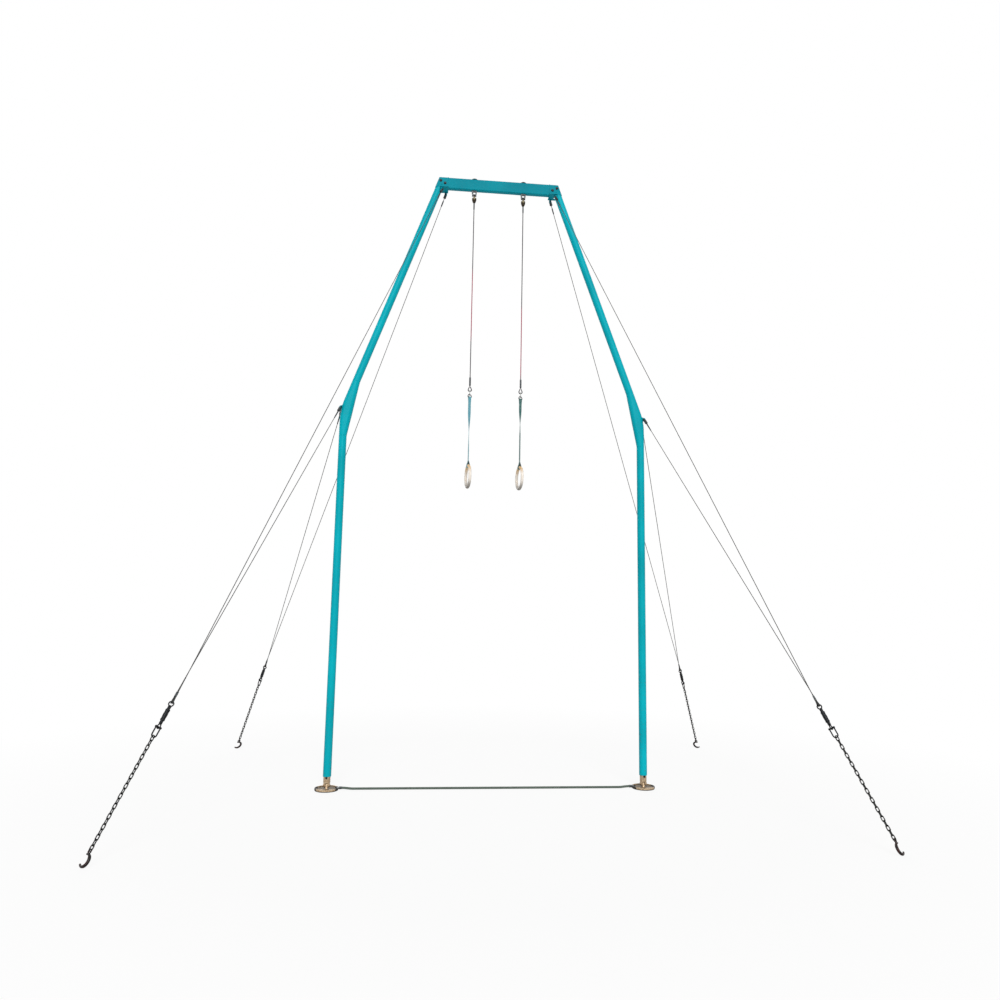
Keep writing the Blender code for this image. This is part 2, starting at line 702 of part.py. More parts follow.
def make_foot_plate():
    """Dished disc with the lug and pin of the hinge and the bolt that holds the tie."""
    low = foot_floor()
    top = low + FOOT_THICKNESS
    radius = FOOT_DIAMETER / 2
    rim = radius - FOOT_RIM_WIDTH
    rise = top + FOOT_RIM_RISE
    sink = top - FOOT_THICKNESS / 2
    dish = turned([(radius, low), (radius, rise), (rim, rise), (rim, top)], FOOT_SIDES)
    half = FOOT_LUG_THICKNESS / 2
    root = FOOT_LUG_RADIUS * LUG_FLARE
    foot = sink - FOOT_PIN_HEIGHT
    outline = [(-root, foot), (root, foot)] + arc(FOOT_LUG_RADIUS, 0, 180, 6)
    pin_frame = at(z=FOOT_PIN_HEIGHT) @ LIE_ALONG_X
    lug = moved(prism(outline, -half, half), pin_frame)
    pin_end = FORK_WIDTH / 2 + FORK_GAP
    pin, cap = FOOT_PIN_DIAMETER / 2, FOOT_PIN_DIAMETER / 2 * PIN_HEAD_RATIO
    far = pin_end + CHEEK_THICKNESS
    hinge = moved(turned([(cap, -far), (cap, -pin_end), (pin, -pin_end),
                          (pin, pin_end), (cap, pin_end), (cap, far)]), pin_frame)
    tab_top = tie_height() + TIE_TAB_THICKNESS / 2 + FACE_GAP
    bolt, head = TIE_BOLT_DIAMETER / 2, TIE_BOLT_DIAMETER / 2 * PIN_HEAD_RATIO
    stud = turned([(bolt, sink), (bolt, tab_top), (head, tab_top), (head, tab_top + bolt)])
    wide = TIE_TAB_WIDTH / 2 + FOOT_NOTCH_GAP
    notch = block((-radius - FOOT_RIM_WIDTH, FOOT_NOTCH_GAP - rim), (-wide, wide), (top - FACE_GAP, rise * 2))
    body = joined(cut(dish, notch), lug, hinge, moved(stud, at(x=-TIE_BOLT_REACH)))
    return moved(body, at(x=POST_X))


def make_foot_pad():
    """Rubber disc under the foot plate."""
    radius = FOOT_DIAMETER / 2 - PAD_MARGIN
    return moved(cylinder(radius, 0, PAD_THICKNESS, FOOT_SIDES), at(x=POST_X))


def make_floor_tie():
    """Rope that lies on the floor between the feet, with a ferrule and an eye tab at each end."""
    bolt_x = POST_X - TIE_BOLT_REACH
    end = POST_X - FOOT_DIAMETER / 2 - FACE_GAP
    start = end - TIE_FERRULE_LENGTH
    ferrule, rope = TIE_FERRULE_DIAMETER / 2, TIE_DIAMETER / 2
    level = tie_height()
    half = [(start - TIE_SLOPE_LENGTH, rope + SEAT_GAP, rope), (start, level, rope),
            (start + rope, level, ferrule), (end - SEAT_GAP, level, ferrule), (end, level, rope)]
    points = [(-x, z, r) for x, z, r in half[::-1]] + half
    body = rod([(x, z) for x, z, r in points], [r for x, z, r in points], ROPE_SIDES, closed=False)
    wide = TIE_TAB_WIDTH / 2
    low, high = level - TIE_TAB_THICKNESS / 2, level + TIE_TAB_THICKNESS / 2
    nose = [(end - rope, wide), (end - rope, -wide)] + arc(wide, -90, 90, 6, (bolt_x, 0))
    tab = prism(nose, low, high)
    bore = moved(cylinder(TIE_BOLT_DIAMETER / 2 + PIN_GAP, low - PAD_THICKNESS, high * 2), at(x=bolt_x))
    return cut(joined(body, tab, mirrored(tab)), bore, mirrored(bore))


def upper_attachment(end):
    """Hole of a head's ear, at the front (end below 0) or at the rear."""
    inset = FRONT_EAR_INSET if end < 0 else REAR_EAR_INSET
    x = on_slant(BEAM_BOTTOM).x - inset
    return Vector((x, math.copysign(EAR_Y, end), BEAM_BOTTOM - EAR_DROP))


def junction_of(end):
    """Where the cables of a guy meet the upper eye of its turnbuckle, and where its chain aims."""
    anchor = Vector((ANCHOR_SPACING_X / 2, end * ANCHOR_SPACING_Y / 2, 0))
    knee = Vector((POST_X, 0, KNEE_LUG_HEIGHT))
    aim = knee.lerp(upper_attachment(end), LOWER_CABLE_SHARE)
    return anchor + (aim - anchor).normalized() * JUNCTION_REACH, anchor


def lower_attachment(junction):
    """Hole of the knee's lug, on the line from the post to the junction."""
    run = Vector((junction.x - POST_X, junction.y, 0)).normalized()
    return Vector((POST_X, 0, KNEE_LUG_HEIGHT)) + run * LUG_REACH


def make_guy_cable(start, junction, down, across, offset, fitting):
    """Cable from a lug to the turnbuckle's upper eye, with a fork at the top and a loop at the foot.

    The loop lies across the eye, moved by the offset along the eye's own plane.
    """
    seat = junction + across * offset
    bore = THIMBLE_BORE / 2
    middle = seat - down * (bore - EYE_ROD / 2 - SEAT_GAP - EYE_FALL)
    direction = (middle - start).normalized()
    length = (middle - start).length
    run = Vector((junction.x - start.x, junction.y - start.y, 0)).normalized()
    frame = along(start, direction, run.cross(Z))
    radius = GUY_DIAMETER / 2
    inner = LUG_THICKNESS / 2 + FORK_GAP
    outer = inner + CHEEK_THICKNESS
    fork_length, shank = fitting
    bridge = LUG_RADIUS + SEAT_GAP * 3
    outline = [(-outer, -FORK_NOSE), (-outer, fork_length), (outer, fork_length), (outer, -FORK_NOSE),
               (inner, -FORK_NOSE), (inner, bridge), (-inner, bridge), (-inner, -FORK_NOSE)]
    half = CHEEK_WIDTH / 2
    fork = moved(prism(outline, -half, half), STAND_UP)
    pin = moved(cylinder(CLEVIS_DIAMETER / 2, -outer - FORK_GAP * 2, outer + FORK_GAP * 2, 8), LIE_ALONG_X)
    loop_start = length - THIMBLE_HEIGHT
    ferrule_start = loop_start - GUY_FERRULE_LENGTH
    profile = [(r, fork_length + z) for r, z in shank]
    ferrule = GUY_FERRULE_DIAMETER / 2
    profile += [(radius, ferrule_start), (ferrule, ferrule_start + ferrule),
                (ferrule, loop_start), (radius, loop_start + radius)]
    shaft = turned(profile, ROPE_SIDES)
    drop = teardrop(bore + THIMBLE_ROD / 2, THIMBLE_HEIGHT + GUY_FERRULE_LENGTH / 4)
    loop = ring_of_rod([(x, z) for x, z in drop], THIMBLE_ROD)
    side = direction.cross(across)
    loop_frame = frame.inverted() @ along(middle, -direction, side)
    return moved(joined(fork, pin, shaft, moved(loop, loop_frame)), frame)


def knee_fitting():
    """Fork length and turned shank of the cable end at the knee: one long taper."""
    swage, end = SWAGE_DIAMETER / 2, KNEE_SWAGE_END / 2
    return KNEE_FORK_LENGTH, [(swage, -SEAT_GAP), (swage, KNEE_SWAGE_LENGTH / 4),
                              (end, KNEE_SWAGE_LENGTH - end), (GUY_DIAMETER / 2, KNEE_SWAGE_LENGTH)]


def head_fitting():
    """Fork length and turned shank at the head: bare cable, then a long ferrule."""
    swage = SWAGE_DIAMETER / 2
    bare = GUY_DIAMETER / 2
    end = HEAD_NECK_LENGTH + HEAD_FERRULE_LENGTH
    return HEAD_FORK_LENGTH, [(bare, -SEAT_GAP), (bare, HEAD_NECK_LENGTH), (swage, HEAD_NECK_LENGTH + swage),
                              (swage, end - swage * 2), (bare, end)]


def eye_screw(length):
    """Eye with the middle of its top rod at the origin and its screw down Z."""
    radius = (EYE_BORE + EYE_ROD) / 2
    eye = ring_of_rod(hoop(radius, (0, radius)), EYE_ROD)
    screw = EYE_SCREW_DIAMETER / 2
    start = 2 * radius
    return joined(eye, cylinder(screw, start, start + length, ROPE_SIDES))


def eye_depth():
    """From the middle of an eye's top rod to the start of its screw."""
    return EYE_BORE + EYE_ROD


def barrel_start():
    """From the junction to the barrel."""
    return eye_depth() + EYE_NECK


def make_barrel():
    """Threaded sleeve that both eye screws enter, with its upper end at the origin."""
    bore = EYE_SCREW_DIAMETER / 2 + THREAD_GAP
    outer = BARREL_DIAMETER / 2
    end = BARREL_END_DIAMETER / 2
    taper = BARREL_LENGTH / 6
    profile = [(bore, 0), (end, 0), (outer, taper), (outer, BARREL_LENGTH - taper),
               (end, BARREL_LENGTH), (bore, BARREL_LENGTH)]
    return turned(profile, 12, hollow=True)


def chain_link(across):
    """One link of the chain about the origin, in the XZ plane or, if across, in the YZ plane."""
    link = ring_of_rod(stadium((CHAIN_WIDTH - CHAIN_ROD) / 2, CHAIN_PITCH + CHAIN_ROD), CHAIN_ROD, 5)
    return moved(link, Matrix.Rotation(math.pi / 2, 4, 'Z')) if across else link


def make_chain(length):
    """Lower eye screw, shackle and chain as one solid, from the barrel's end (z = 0) downwards.

    The length is from the barrel's end to the middle of the last link's lower rod. The run of chain is
    drawn as one bar that is wide and narrow by turns, in two planes, and the last link is a true one.
    """
    eye = moved(eye_screw(EYE_NECK + THREAD_ENGAGED), Matrix.Rotation(math.pi, 4, 'X'))
    moved(eye, at(z=EYE_NECK + eye_depth()))
    eye_foot = EYE_NECK + eye_depth()
    half = SHACKLE_WIDTH / 2
    pin_z = eye_foot - EYE_ROD / 2 - SHACKLE_ROD / 2 + WELD_OVERLAP
    bow_z = pin_z + SHACKLE_LENGTH - half
    bow = [(half, pin_z)] + arc(half, 0, 180, 6, (0, bow_z)) + [(-half, pin_z)]
    shackle = moved(ring_of_rod(bow, SHACKLE_ROD), Matrix.Rotation(math.pi / 2, 4, 'Z'))
    reach = SHACKLE_PIN_LENGTH / 2
    pin = moved(cylinder(SHACKLE_PIN_DIAMETER / 2, -reach, reach, 8), at(z=pin_z) @ LIE_ALONG_Y)
    top = bow_z + half - SHACKLE_ROD / 2 - CHAIN_ROD / 2 + WELD_OVERLAP
    run = length - top
    count = max(3, round(run / CHAIN_PITCH))
    pitch = run / count
    narrow = CHAIN_ROD / 2
    wide = CHAIN_WIDTH / 2
    sections = [(narrow, narrow, top - narrow)]
    for k in range(count - 1):
        a, b = (narrow, wide) if (count - k) % 2 else (wide, narrow)
        sections.append((a, b, top + (k + 0.5) * pitch))
    sections.append((narrow, narrow, top + (count - 1) * pitch + narrow))
    corners = ((1, 1), (-1, 1), (-1, -1), (1, -1))
    rings = [[Vector((x * a, y * b, z)) for x, y in corners] for a, b, z in sections]
    last = moved(chain_link(True), at(z=top + (count - 0.5) * pitch))
    return joined(eye, shackle, pin, lofted(rings), last)


def hook_middle(anchor, down):
    """Middle of a floor hook that touches the floor and lies in line with its chain."""
    return anchor - down * (HOOK_RADIUS - HOOK_ROD / 2 / down.z)


def hook_eye_reach():
    """From the middle of the hook to the middle of its eye."""
    return HOOK_RADIUS + HOOK_EYE_BORE / 2 + HOOK_EYE_ROD


def last_link_z(anchor, down, junction):
    """From the junction to the middle of the last link's lower rod, inside the hook's eye."""
    eye = hook_middle(anchor, down) - down * hook_eye_reach()
    top_rod = (HOOK_EYE_BORE + HOOK_EYE_ROD) / 2
    seat = HOOK_EYE_ROD / 2 + CHAIN_ROD / 2 + PIN_GAP
    return (junction - eye).length - top_rod + seat


def make_hook(anchor, down):
    """Open hook that stands on the floor, with an eye for the chain and its mouth turned outwards."""
    level = down.cross(Z).normalized()
    outward = math.copysign(1, level.x) * level
    bow_path = arc(HOOK_RADIUS, HOOK_START, HOOK_END, 12)
    last = len(bow_path) - 1
    full, tip = HOOK_ROD / 2, HOOK_TIP / 2
    radii = [min(full, tip + (full - tip) * 3 * min(k, last - k) / last) for k in range(last + 1)]
    bow = rod(bow_path, radii, ROD_SIDES, closed=False)
    eye = ring_of_rod(hoop((HOOK_EYE_BORE + HOOK_EYE_ROD) / 2, (0, hook_eye_reach())), HOOK_EYE_ROD)
    return moved(joined(bow, eye), along(hook_middle(anchor, down), -down, outward))


def make_yoke():
    """Forked holder under the beam, with its stud through the beam and a domed nut on top."""
    top = YOKE_DROP - FACE_GAP
    wide, foot, gap = YOKE_WIDTH / 2, YOKE_FOOT_WIDTH / 2, YOKE_GAP / 2
    half = YOKE_DEPTH / 2
    low = SEAT_GAP - half
    plate = top - YOKE_PLATE
    outline = [(-wide, top), (-wide, plate), (-foot, low), (-gap, low), (-gap, plate),
               (gap, plate), (gap, low), (foot, low), (wide, plate), (wide, top)]
    legs = moved(prism(outline, -half, half), STAND_UP)
    reach = foot + SEAT_GAP
    pin = moved(cylinder(YOKE_PIN_DIAMETER / 2, -reach, reach), LIE_ALONG_X)
    stud, washer, nut = STUD_DIAMETER / 2, WASHER_DIAMETER / 2, NUT_DIAMETER / 2
    seat = YOKE_DROP + BEAM_HEIGHT + FACE_GAP
    nut_seat = seat + WASHER_THICKNESS
    profile = [(stud, top - YOKE_PLATE / 2), (stud, seat), (washer, seat),
               (washer, nut_seat), (nut, nut_seat)]
    profile += [(nut * math.cos(a), nut_seat + NUT_HEIGHT / 2 * (1 + math.sin(a))) for a in DOME_ANGLES]
    return joined(legs, pin, turned(profile, POST_SIDES))


def make_swing_block():
    """Block that swings on the yoke's pin, with a hole for the cross pin."""
    side = BLOCK_WIDTH / 2
    hub = moved(cylinder(BLOCK_HUB_DIAMETER / 2, -side, side), LIE_ALONG_X)
    wide = side - SEAT_GAP
    outline = [(wide, 0), (-wide, 0)] + arc(wide, 180, 360, 6, (0, -CROSS_PIN_DROP))
    half = BLOCK_DEPTH / 2
    body = moved(prism(outline, -half, half), STAND_UP)
    pin_bore = moved(cylinder(YOKE_PIN_DIAMETER / 2 + PIN_GAP, -BLOCK_WIDTH, BLOCK_WIDTH), LIE_ALONG_X)
    cross_bore = moved(cylinder(CROSS_PIN_DIAMETER / 2 + PIN_GAP, -BLOCK_WIDTH, BLOCK_WIDTH),
                       at(z=-CROSS_PIN_DROP) @ LIE_ALONG_Y)
    return cut(joined(hub, body), pin_bore, cross_bore)


def make_bell():
    """Bell of the swivel: two ears on the cross pin, and a chamber for the head of the stem."""
    wide, end = BELL_DIAMETER / 2, BELL_END_DIAMETER / 2
    top = -BELL_DROP
    bottom = top - BELL_HEIGHT
    body = turned([(end, bottom), (wide, top - BELL_BAND_HEIGHT), (wide, top - SEAT_GAP * 2),
                   (wide - SEAT_GAP * 2, top)], POST_SIDES)
    ear_radius = BLOCK_WIDTH / 2 - SEAT_GAP * 1.5
    near = BLOCK_DEPTH / 2 + FORK_GAP
    root = top - BELL_ROOF / 4
    outline = arc(ear_radius, 0, 180, 6) + [(-ear_radius, root), (ear_radius, root)]
    ears = [moved(prism(outline, *span), STAND_UP) for span in
            ((near, near + BELL_EAR_THICKNESS), (-near - BELL_EAR_THICKNESS, -near))]
    reach = near + BELL_EAR_THICKNESS + SEAT_GAP
    pin = moved(cylinder(CROSS_PIN_DIAMETER / 2, -reach, reach, 10), LIE_ALONG_Y)
    head, stem = STEM_HEAD_DIAMETER / 2 + SEAT_GAP, STEM_DIAMETER / 2 + PIN_GAP
    roof = top - BELL_ROOF
    floor = roof - STEM_HEAD_HEIGHT - 2 * SEAT_GAP
    chamber = turned([(stem, bottom - BELL_ROOF), (stem, floor), (head, floor), (head, roof)])
    return cut(joined(body, *ears, pin), chamber)


def strap_pivot_z():
    """Height of the middle of the link's bottom rod, which the strap eye hangs on."""
    return RING_TOP + STRAP_DROP + STRAP_EYE_HEIGHT - (LINK_ROD + STRAP_EYE_ROD) / 2 - SLANT_SEAT


def cable_loop_z():
    """Height of the middle of the cable's bottom rod, which the link hangs on."""
    return strap_pivot_z() + LINK_LENGTH - (LINK_ROD + CABLE_LOOP_ROD) / 2 - PIN_GAP


def make_ring_cable():
    """Stem with its head in the bell, wire rope, ferrule and bottom loop, from the bell's top down."""
    head, stem, rope = STEM_HEAD_DIAMETER / 2, STEM_DIAMETER / 2, CABLE_DIAMETER / 2
    ferrule = CABLE_FERRULE_DIAMETER / 2
    head_top = -BELL_ROOF - SEAT_GAP
    stem_end = -BELL_HEIGHT - STEM_REACH
    radius = (CABLE_LOOP_BORE + CABLE_LOOP_ROD) / 2
    middle = cable_loop_z() - BELL_TOP + radius
    apex = middle + CABLE_LOOP_HEIGHT - CABLE_LOOP_ROD / 2
    ferrule_top = apex + CABLE_FERRULE_LENGTH
    profile = [(head, head_top), (head, head_top - STEM_HEAD_HEIGHT), (stem, head_top - STEM_HEAD_HEIGHT),
               (stem, stem_end), (rope, stem_end - stem), (rope, ferrule_top),
               (ferrule, ferrule_top - ferrule), (ferrule, apex + ferrule / 2), (ferrule * 0.6, apex)]
    path = [(x, z + middle) for x, z in teardrop(radius, CABLE_LOOP_HEIGHT, 8)]
    return joined(turned(profile), ring_of_rod(path, CABLE_LOOP_ROD, 8))


def make_cable_link():
    """Long link in the YZ plane that joins the cable's loop, at the origin, and the strap eye."""
    path = stadium((LINK_BORE + LINK_ROD) / 2, LINK_LENGTH, 8)
    middle = strap_pivot_z() + LINK_LENGTH / 2 - cable_loop_z()
    return moved(ring_of_rod(path, LINK_ROD, 8), at(z=middle) @ Matrix.Rotation(math.pi / 2, 4, 'Z'))


def strap_bar_z():
    """Height of the bar of the strap eye above the link's bottom rod."""
    return RING_TOP + STRAP_DROP - strap_pivot_z()


def make_strap_eye():
    """Eye with a straight bar for the strap and an arched top for the link."""
    half = STRAP_WIDTH / 2 + SEAT_GAP + STRAP_EYE_ROD / 2
    bar = strap_bar_z()
    foot = bar + STRAP_EYE_HEIGHT / 4
    rise = STRAP_EYE_HEIGHT * 3 / 4
    top = [(half * x, foot + rise * z) for x, z in arc(1, 0, 180, 8)]
    path = [(-half, bar), (half, bar)] + top
    return moved(ring_of_rod(path, STRAP_EYE_ROD, 8), Matrix.Rotation(EYE_TURN, 4, 'Z'))


def strap_loop(bore, play, turn, height, way):
    """Sewn loop of strap about a rod: up (1) or down (-1) to where its plies meet."""
    inner = bore + play
    outer = inner + STRAP_PLY
    reach = STRAP_LOOP_HEIGHT
    rise = math.degrees(math.asin((outer - STRAP_PLY) / reach))
    shell = [(STRAP_PLY, reach)] + arc(outer, rise, -180 - rise, 10) + [(-STRAP_PLY, reach)]
    a = math.radians(rise)
    slope = (reach - outer * math.sin(a)) / (outer * math.cos(a) - STRAP_PLY)
    meet = inner * math.sin(a) + (inner * math.cos(a) - PIN_GAP) * slope
    hollow = [(PIN_GAP, meet)] + arc(inner, rise, -180 - rise, 10) + [(-PIN_GAP, meet)]
    half = STRAP_WIDTH / 2
    loop = moved(hollow_prism(shell, hollow, -half, half), STAND_UP)
    flip = Matrix.Rotation(math.pi if way < 0 else 0, 4, 'Y')
    return moved(loop, at(z=height) @ Matrix.Rotation(turn, 4, 'Z') @ flip)


def make_ring_strap():
    """Two plies of webbing with a loop at each end, twisted between the eye and the ring."""
    bar = strap_bar_z()
    ring_turn = RING_TURN + math.pi / 2
    sag = (STRAP_WIDTH / 2) ** 2 / RING_BORE
    wood_z = bar - STRAP_DROP - sag / 2
    low = strap_loop((RING_ROD + sag) / 2, STRAP_LOOP_PLAY, ring_turn + math.pi / 2, wood_z, 1)
    high = strap_loop(STRAP_EYE_ROD / 2, PIN_GAP, EYE_TURN + math.pi / 2, bar, -1)
    start = wood_z + STRAP_LOOP_HEIGHT - STRAP_PLY
    end = bar - STRAP_LOOP_HEIGHT + STRAP_PLY
    steps = 10
    half = STRAP_WIDTH / 2 - FACE_GAP
    rings = []
    for k in range(steps + 1):
        t = k / steps
        turn = Matrix.Rotation(ring_turn + (EYE_TURN - ring_turn) * t, 4, 'Z')
        corners = ((half, STRAP_PLY), (-half, STRAP_PLY), (-half, -STRAP_PLY), (half, -STRAP_PLY))
        rings.append([turn @ Vector((x, y, start + (end - start) * t)) for x, y in corners])
    return joined(lofted(rings), low, high)


def make_wooden_ring():
    """Turned ring, whose top passes through the strap's lower loop."""
    ring = ring_of_rod(arc(RING_RADIUS, 0, 360, RING_STEPS)[:-1], RING_ROD, RING_SIDES)
    return moved(ring, at(z=-RING_RADIUS) @ Matrix.Rotation(RING_TURN + math.pi / 2, 4, 'Z'))


def add_frame(finish, junctions):
    """Posts, knees, heads, beam, brackets and feet."""
    ground = Vector()
    pair("lower_post", make_lower_post(), finish["teal_paint"], Vector((POST_X, 0, POST_BOTTOM)))
    pair("upper_post", make_upper_post(), finish["teal_paint"], KNEE)
    pair("knee", make_knee(junctions), finish["teal_paint"], KNEE)
    pair("post_head", make_head(), finish["teal_paint"], HEAD)
    pair("guy_bracket", make_bracket(junctions), finish["teal_paint"], HEAD)
    piece("crossbeam", make_crossbeam(), finish["teal_paint"], Vector((0, 0, BEAM_BOTTOM)))
    foot = Vector((POST_X, 0, FOOT_PIN_HEIGHT))
    pair("leg_spigot", make_spigot(), finish["yellow_zinc"], foot)
    pair("height_pin", make_height_pin(), finish["dark_steel"], Vector((POST_X, 0, HEIGHT_PIN_HEIGHT)))
    pair("foot_plate", make_foot_plate(), finish["yellow_zinc"], foot)
    pair("foot_pad", make_foot_pad(), finish["black_rubber"], foot)
    piece("floor_tie", make_floor_tie(), finish["tie_rope"], ground)


def add_guy(finish, end, junction, anchor):
    """The cables, turnbuckle, chain and hook of one end, on both sides of the frame."""
    where = "_front" if end < 0 else "_rear"
    down = (anchor - junction).normalized()
    across = (upper_attachment(end) - anchor).cross(lower_attachment(junction) - anchor).normalized()
    offset = THIMBLE_ROD / 2 + PIN_GAP
    upper = make_guy_cable(upper_attachment(end), junction, down, across, offset, head_fitting())
    lower = make_guy_cable(lower_attachment(junction), junction, down, across, -offset, knee_fitting())
    pair("upper_guy" + where, upper, finish["wire_rope"], upper_attachment(end))
    pair("lower_guy" + where, lower, finish["wire_rope"], lower_attachment(junction))
    eye = moved(eye_screw(EYE_NECK + THREAD_ENGAGED), along(junction, down, across))
    pair("turnbuckle_eye" + where, eye, finish["dark_steel"], junction)
    level = down.cross(Z)
    barrel_top = junction + down * barrel_start()
    pair("turnbuckle_barrel" + where, moved(make_barrel(), along(barrel_top, down, level)),
         finish["dark_steel"], barrel_top)
    barrel_foot = barrel_top + down * BARREL_LENGTH
    reach = last_link_z(anchor, down, junction) - barrel_start() - BARREL_LENGTH
    pair("guy_chain" + where, moved(make_chain(reach), along(barrel_foot, down, level)),
         finish["bright_steel"], barrel_foot)
    pair("floor_hook" + where, make_hook(anchor, down), finish["hook_iron"], anchor)


def add_hanging_set(finish, name, x, webbing):
    """Everything that hangs from one yoke, and the yoke. Each piece is made about its own origin."""
    parts = (
        ("ring_yoke", make_yoke(), "galvanised_steel", YOKE_PIN_Z),
        ("swing_block", make_swing_block(), "dark_steel", YOKE_PIN_Z),
        ("swivel_bell", make_bell(), "brass", CROSS_PIN_Z),
        ("ring_cable", make_ring_cable(), "wire_rope", BELL_TOP),
        ("cable_link", make_cable_link(), "bright_steel", cable_loop_z()),
        ("strap_eye", make_strap_eye(), "dark_steel", strap_pivot_z()),
        ("ring_strap", make_ring_strap(), webbing, strap_pivot_z()),
        ("wooden_ring", make_wooden_ring(), "ring_wood", RING_TOP),
    )
    for part, mesh, look, height in parts:
        origin = Vector((x, 0, height))
        piece(part + name, moved(mesh, at(*origin)), finish[look], origin)


def main():
    """Make every piece."""
    clear_scene()
    finish = {name: make_finish(name) for name in FINISHES}
    guys = [(end, *junction_of(end)) for end in (-1, 1)]
    add_frame(finish, [junction for end, junction, anchor in guys])
    for end, junction, anchor in guys:
        add_guy(finish, end, junction, anchor)
    add_hanging_set(finish, "_left", -RING_SPACING / 2, "webbing_light")
    add_hanging_set(finish, "_right", RING_SPACING / 2, "webbing_dark")


main()
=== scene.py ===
# %% [markdown]
# # Gymnastic rings under a guyed frame
# Two wooden rings hang on straps and wire ropes under a tall steel frame. Eight wire guys hold the frame
# upright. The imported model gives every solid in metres: Z is up, X runs along the beam, Y runs from the
# front to the rear, and the floor is z = 0. This lesson dresses those solids. Each new piece is worked
# out with numpy in the same place as the solid it stands for, so nothing has to be fitted by eye.

# %% Load the frame
import math
from collections import namedtuple
from functools import partial

import bpy
import numpy as np
from mathutils import Matrix


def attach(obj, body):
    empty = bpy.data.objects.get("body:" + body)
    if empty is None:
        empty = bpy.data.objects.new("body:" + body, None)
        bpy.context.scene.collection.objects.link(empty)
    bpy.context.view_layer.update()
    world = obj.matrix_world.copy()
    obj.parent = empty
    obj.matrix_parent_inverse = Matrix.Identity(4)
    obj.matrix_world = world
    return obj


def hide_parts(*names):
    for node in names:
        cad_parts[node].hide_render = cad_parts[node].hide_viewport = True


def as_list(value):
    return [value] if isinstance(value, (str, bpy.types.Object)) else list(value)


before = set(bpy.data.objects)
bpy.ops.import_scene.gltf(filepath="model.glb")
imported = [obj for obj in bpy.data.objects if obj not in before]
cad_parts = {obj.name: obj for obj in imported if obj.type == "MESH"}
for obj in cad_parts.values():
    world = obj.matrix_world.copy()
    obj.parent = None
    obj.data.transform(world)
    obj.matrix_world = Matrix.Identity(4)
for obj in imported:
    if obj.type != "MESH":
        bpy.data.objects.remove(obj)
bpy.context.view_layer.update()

# %% [markdown]
# ## Camera
# The photograph was taken from about eye height, seven metres in front of the frame and a little to
# the left. The camera's place, turn and focal length were worked out from the known sizes of a
# competition frame. The focal length was found in picture widths, so it becomes a lens by multiplying
# with the width of the sensor.

# %% Camera
CAMERA_PLACE = (-0.6375, -7.23971, 1.66057)
YAW, PITCH, ROLL = 0.09678, 0.13809, 0.01707
FOCAL_WIDTHS = 0.76205
SENSOR = 36.0

forward = np.array([math.sin(YAW) * math.cos(PITCH), math.cos(YAW) * math.cos(PITCH), math.sin(PITCH)])
level = np.array([math.cos(YAW), -math.sin(YAW), 0.0])
upward = np.cross(level, forward)
rightward = math.cos(ROLL) * level + math.sin(ROLL) * upward
upward = math.cos(ROLL) * upward - math.sin(ROLL) * level
lens = bpy.data.cameras.new("camera")
lens.sensor_width = SENSOR
lens.lens = FOCAL_WIDTHS * SENSOR
lens.clip_end = 200
camera = bpy.data.objects.new("camera", lens)
camera.matrix_world = Matrix([*zip(rightward, upward, -forward, CAMERA_PLACE), (0, 0, 0, 1)])
bpy.context.scene.collection.objects.link(camera)
bpy.context.scene.camera = camera
bpy.context.scene.view_settings.view_transform = "Standard"
print("lens", round(lens.lens, 2), "mm")

# %% [markdown]
# ## Helpers for shapes
# Almost every piece here is a profile carried along a path: a tube, a ring, a link, a strap. So one
# function turns a grid of points into a closed shell, and a few more work out such grids for a rod, for a
# turned part and for a flat plate. All of them handle whole arrays at once.

# %% Grids of points
def unit(v):
    """Each vector divided by its length."""
    v = np.asarray(v, float)
    return v / np.linalg.norm(v, axis=-1, keepdims=True)


def shell(points, closed=False, extra=None):
    """Faces of a grid of points: row i is one station of a path, column j one step round its section.

    Quads join (i, j) with (i, j + 1), (i + 1, j + 1) and (i + 1, j). An open path gets a flat face at each
    end. The UV of a corner is the distance along the path and the part of a turn round the section. If the
    faces enclose a negative volume, they point in, so all of them are turned round.
    """
    rows, cols = points.shape[:2]
    i, j = np.meshgrid(np.arange(rows - (not closed)), np.arange(cols), indexing="ij")
    ni, nj = (i + 1) % rows, (j + 1) % cols
    quads = np.stack([i * cols + j, i * cols + nj, ni * cols + nj, ni * cols + j], -1).reshape(-1, 4)
    middles = points.mean(1)
    steps = np.linalg.norm(np.roll(middles, -1, 0) - middles, axis=1)
    along = np.concatenate([[0.0], np.cumsum(steps)])
    u = np.stack([along[i], along[i], along[i + 1], along[i + 1]], -1)
    v = np.stack([j, j + 1, j + 1, j], -1) / cols
    uv = np.stack([u, v], -1).reshape(-1, 4, 2)
    faces, corners = [quads], [uv]
    if not closed:
        for row, order in ((0, -1), (rows - 1, 1)):
            ring = (row * cols + np.arange(cols))[::order]
            faces.append(ring[None])
            corners.append(np.stack([np.full(cols, along[row]), np.arange(cols) / cols], -1)[None])
    flat = points.reshape(-1, 3)
    a, b, c, d = (flat[quads[:, k]] for k in range(4))
    volume = (a * np.cross(b, c)).sum() + (a * np.cross(c, d)).sum()
    for ring in faces[1:]:
        fan = flat[ring[0]]
        volume += (fan[0] * np.cross(fan[1:-1], fan[2:])).sum()
    if volume < 0:
        faces = [f[:, ::-1] for f in faces]
        corners = [c[:, ::-1] for c in corners]
    return {"points": flat, "faces": faces, "corners": corners,
            "extra": np.zeros((len(flat), 3)) if extra is None else extra.reshape(-1, 3)}


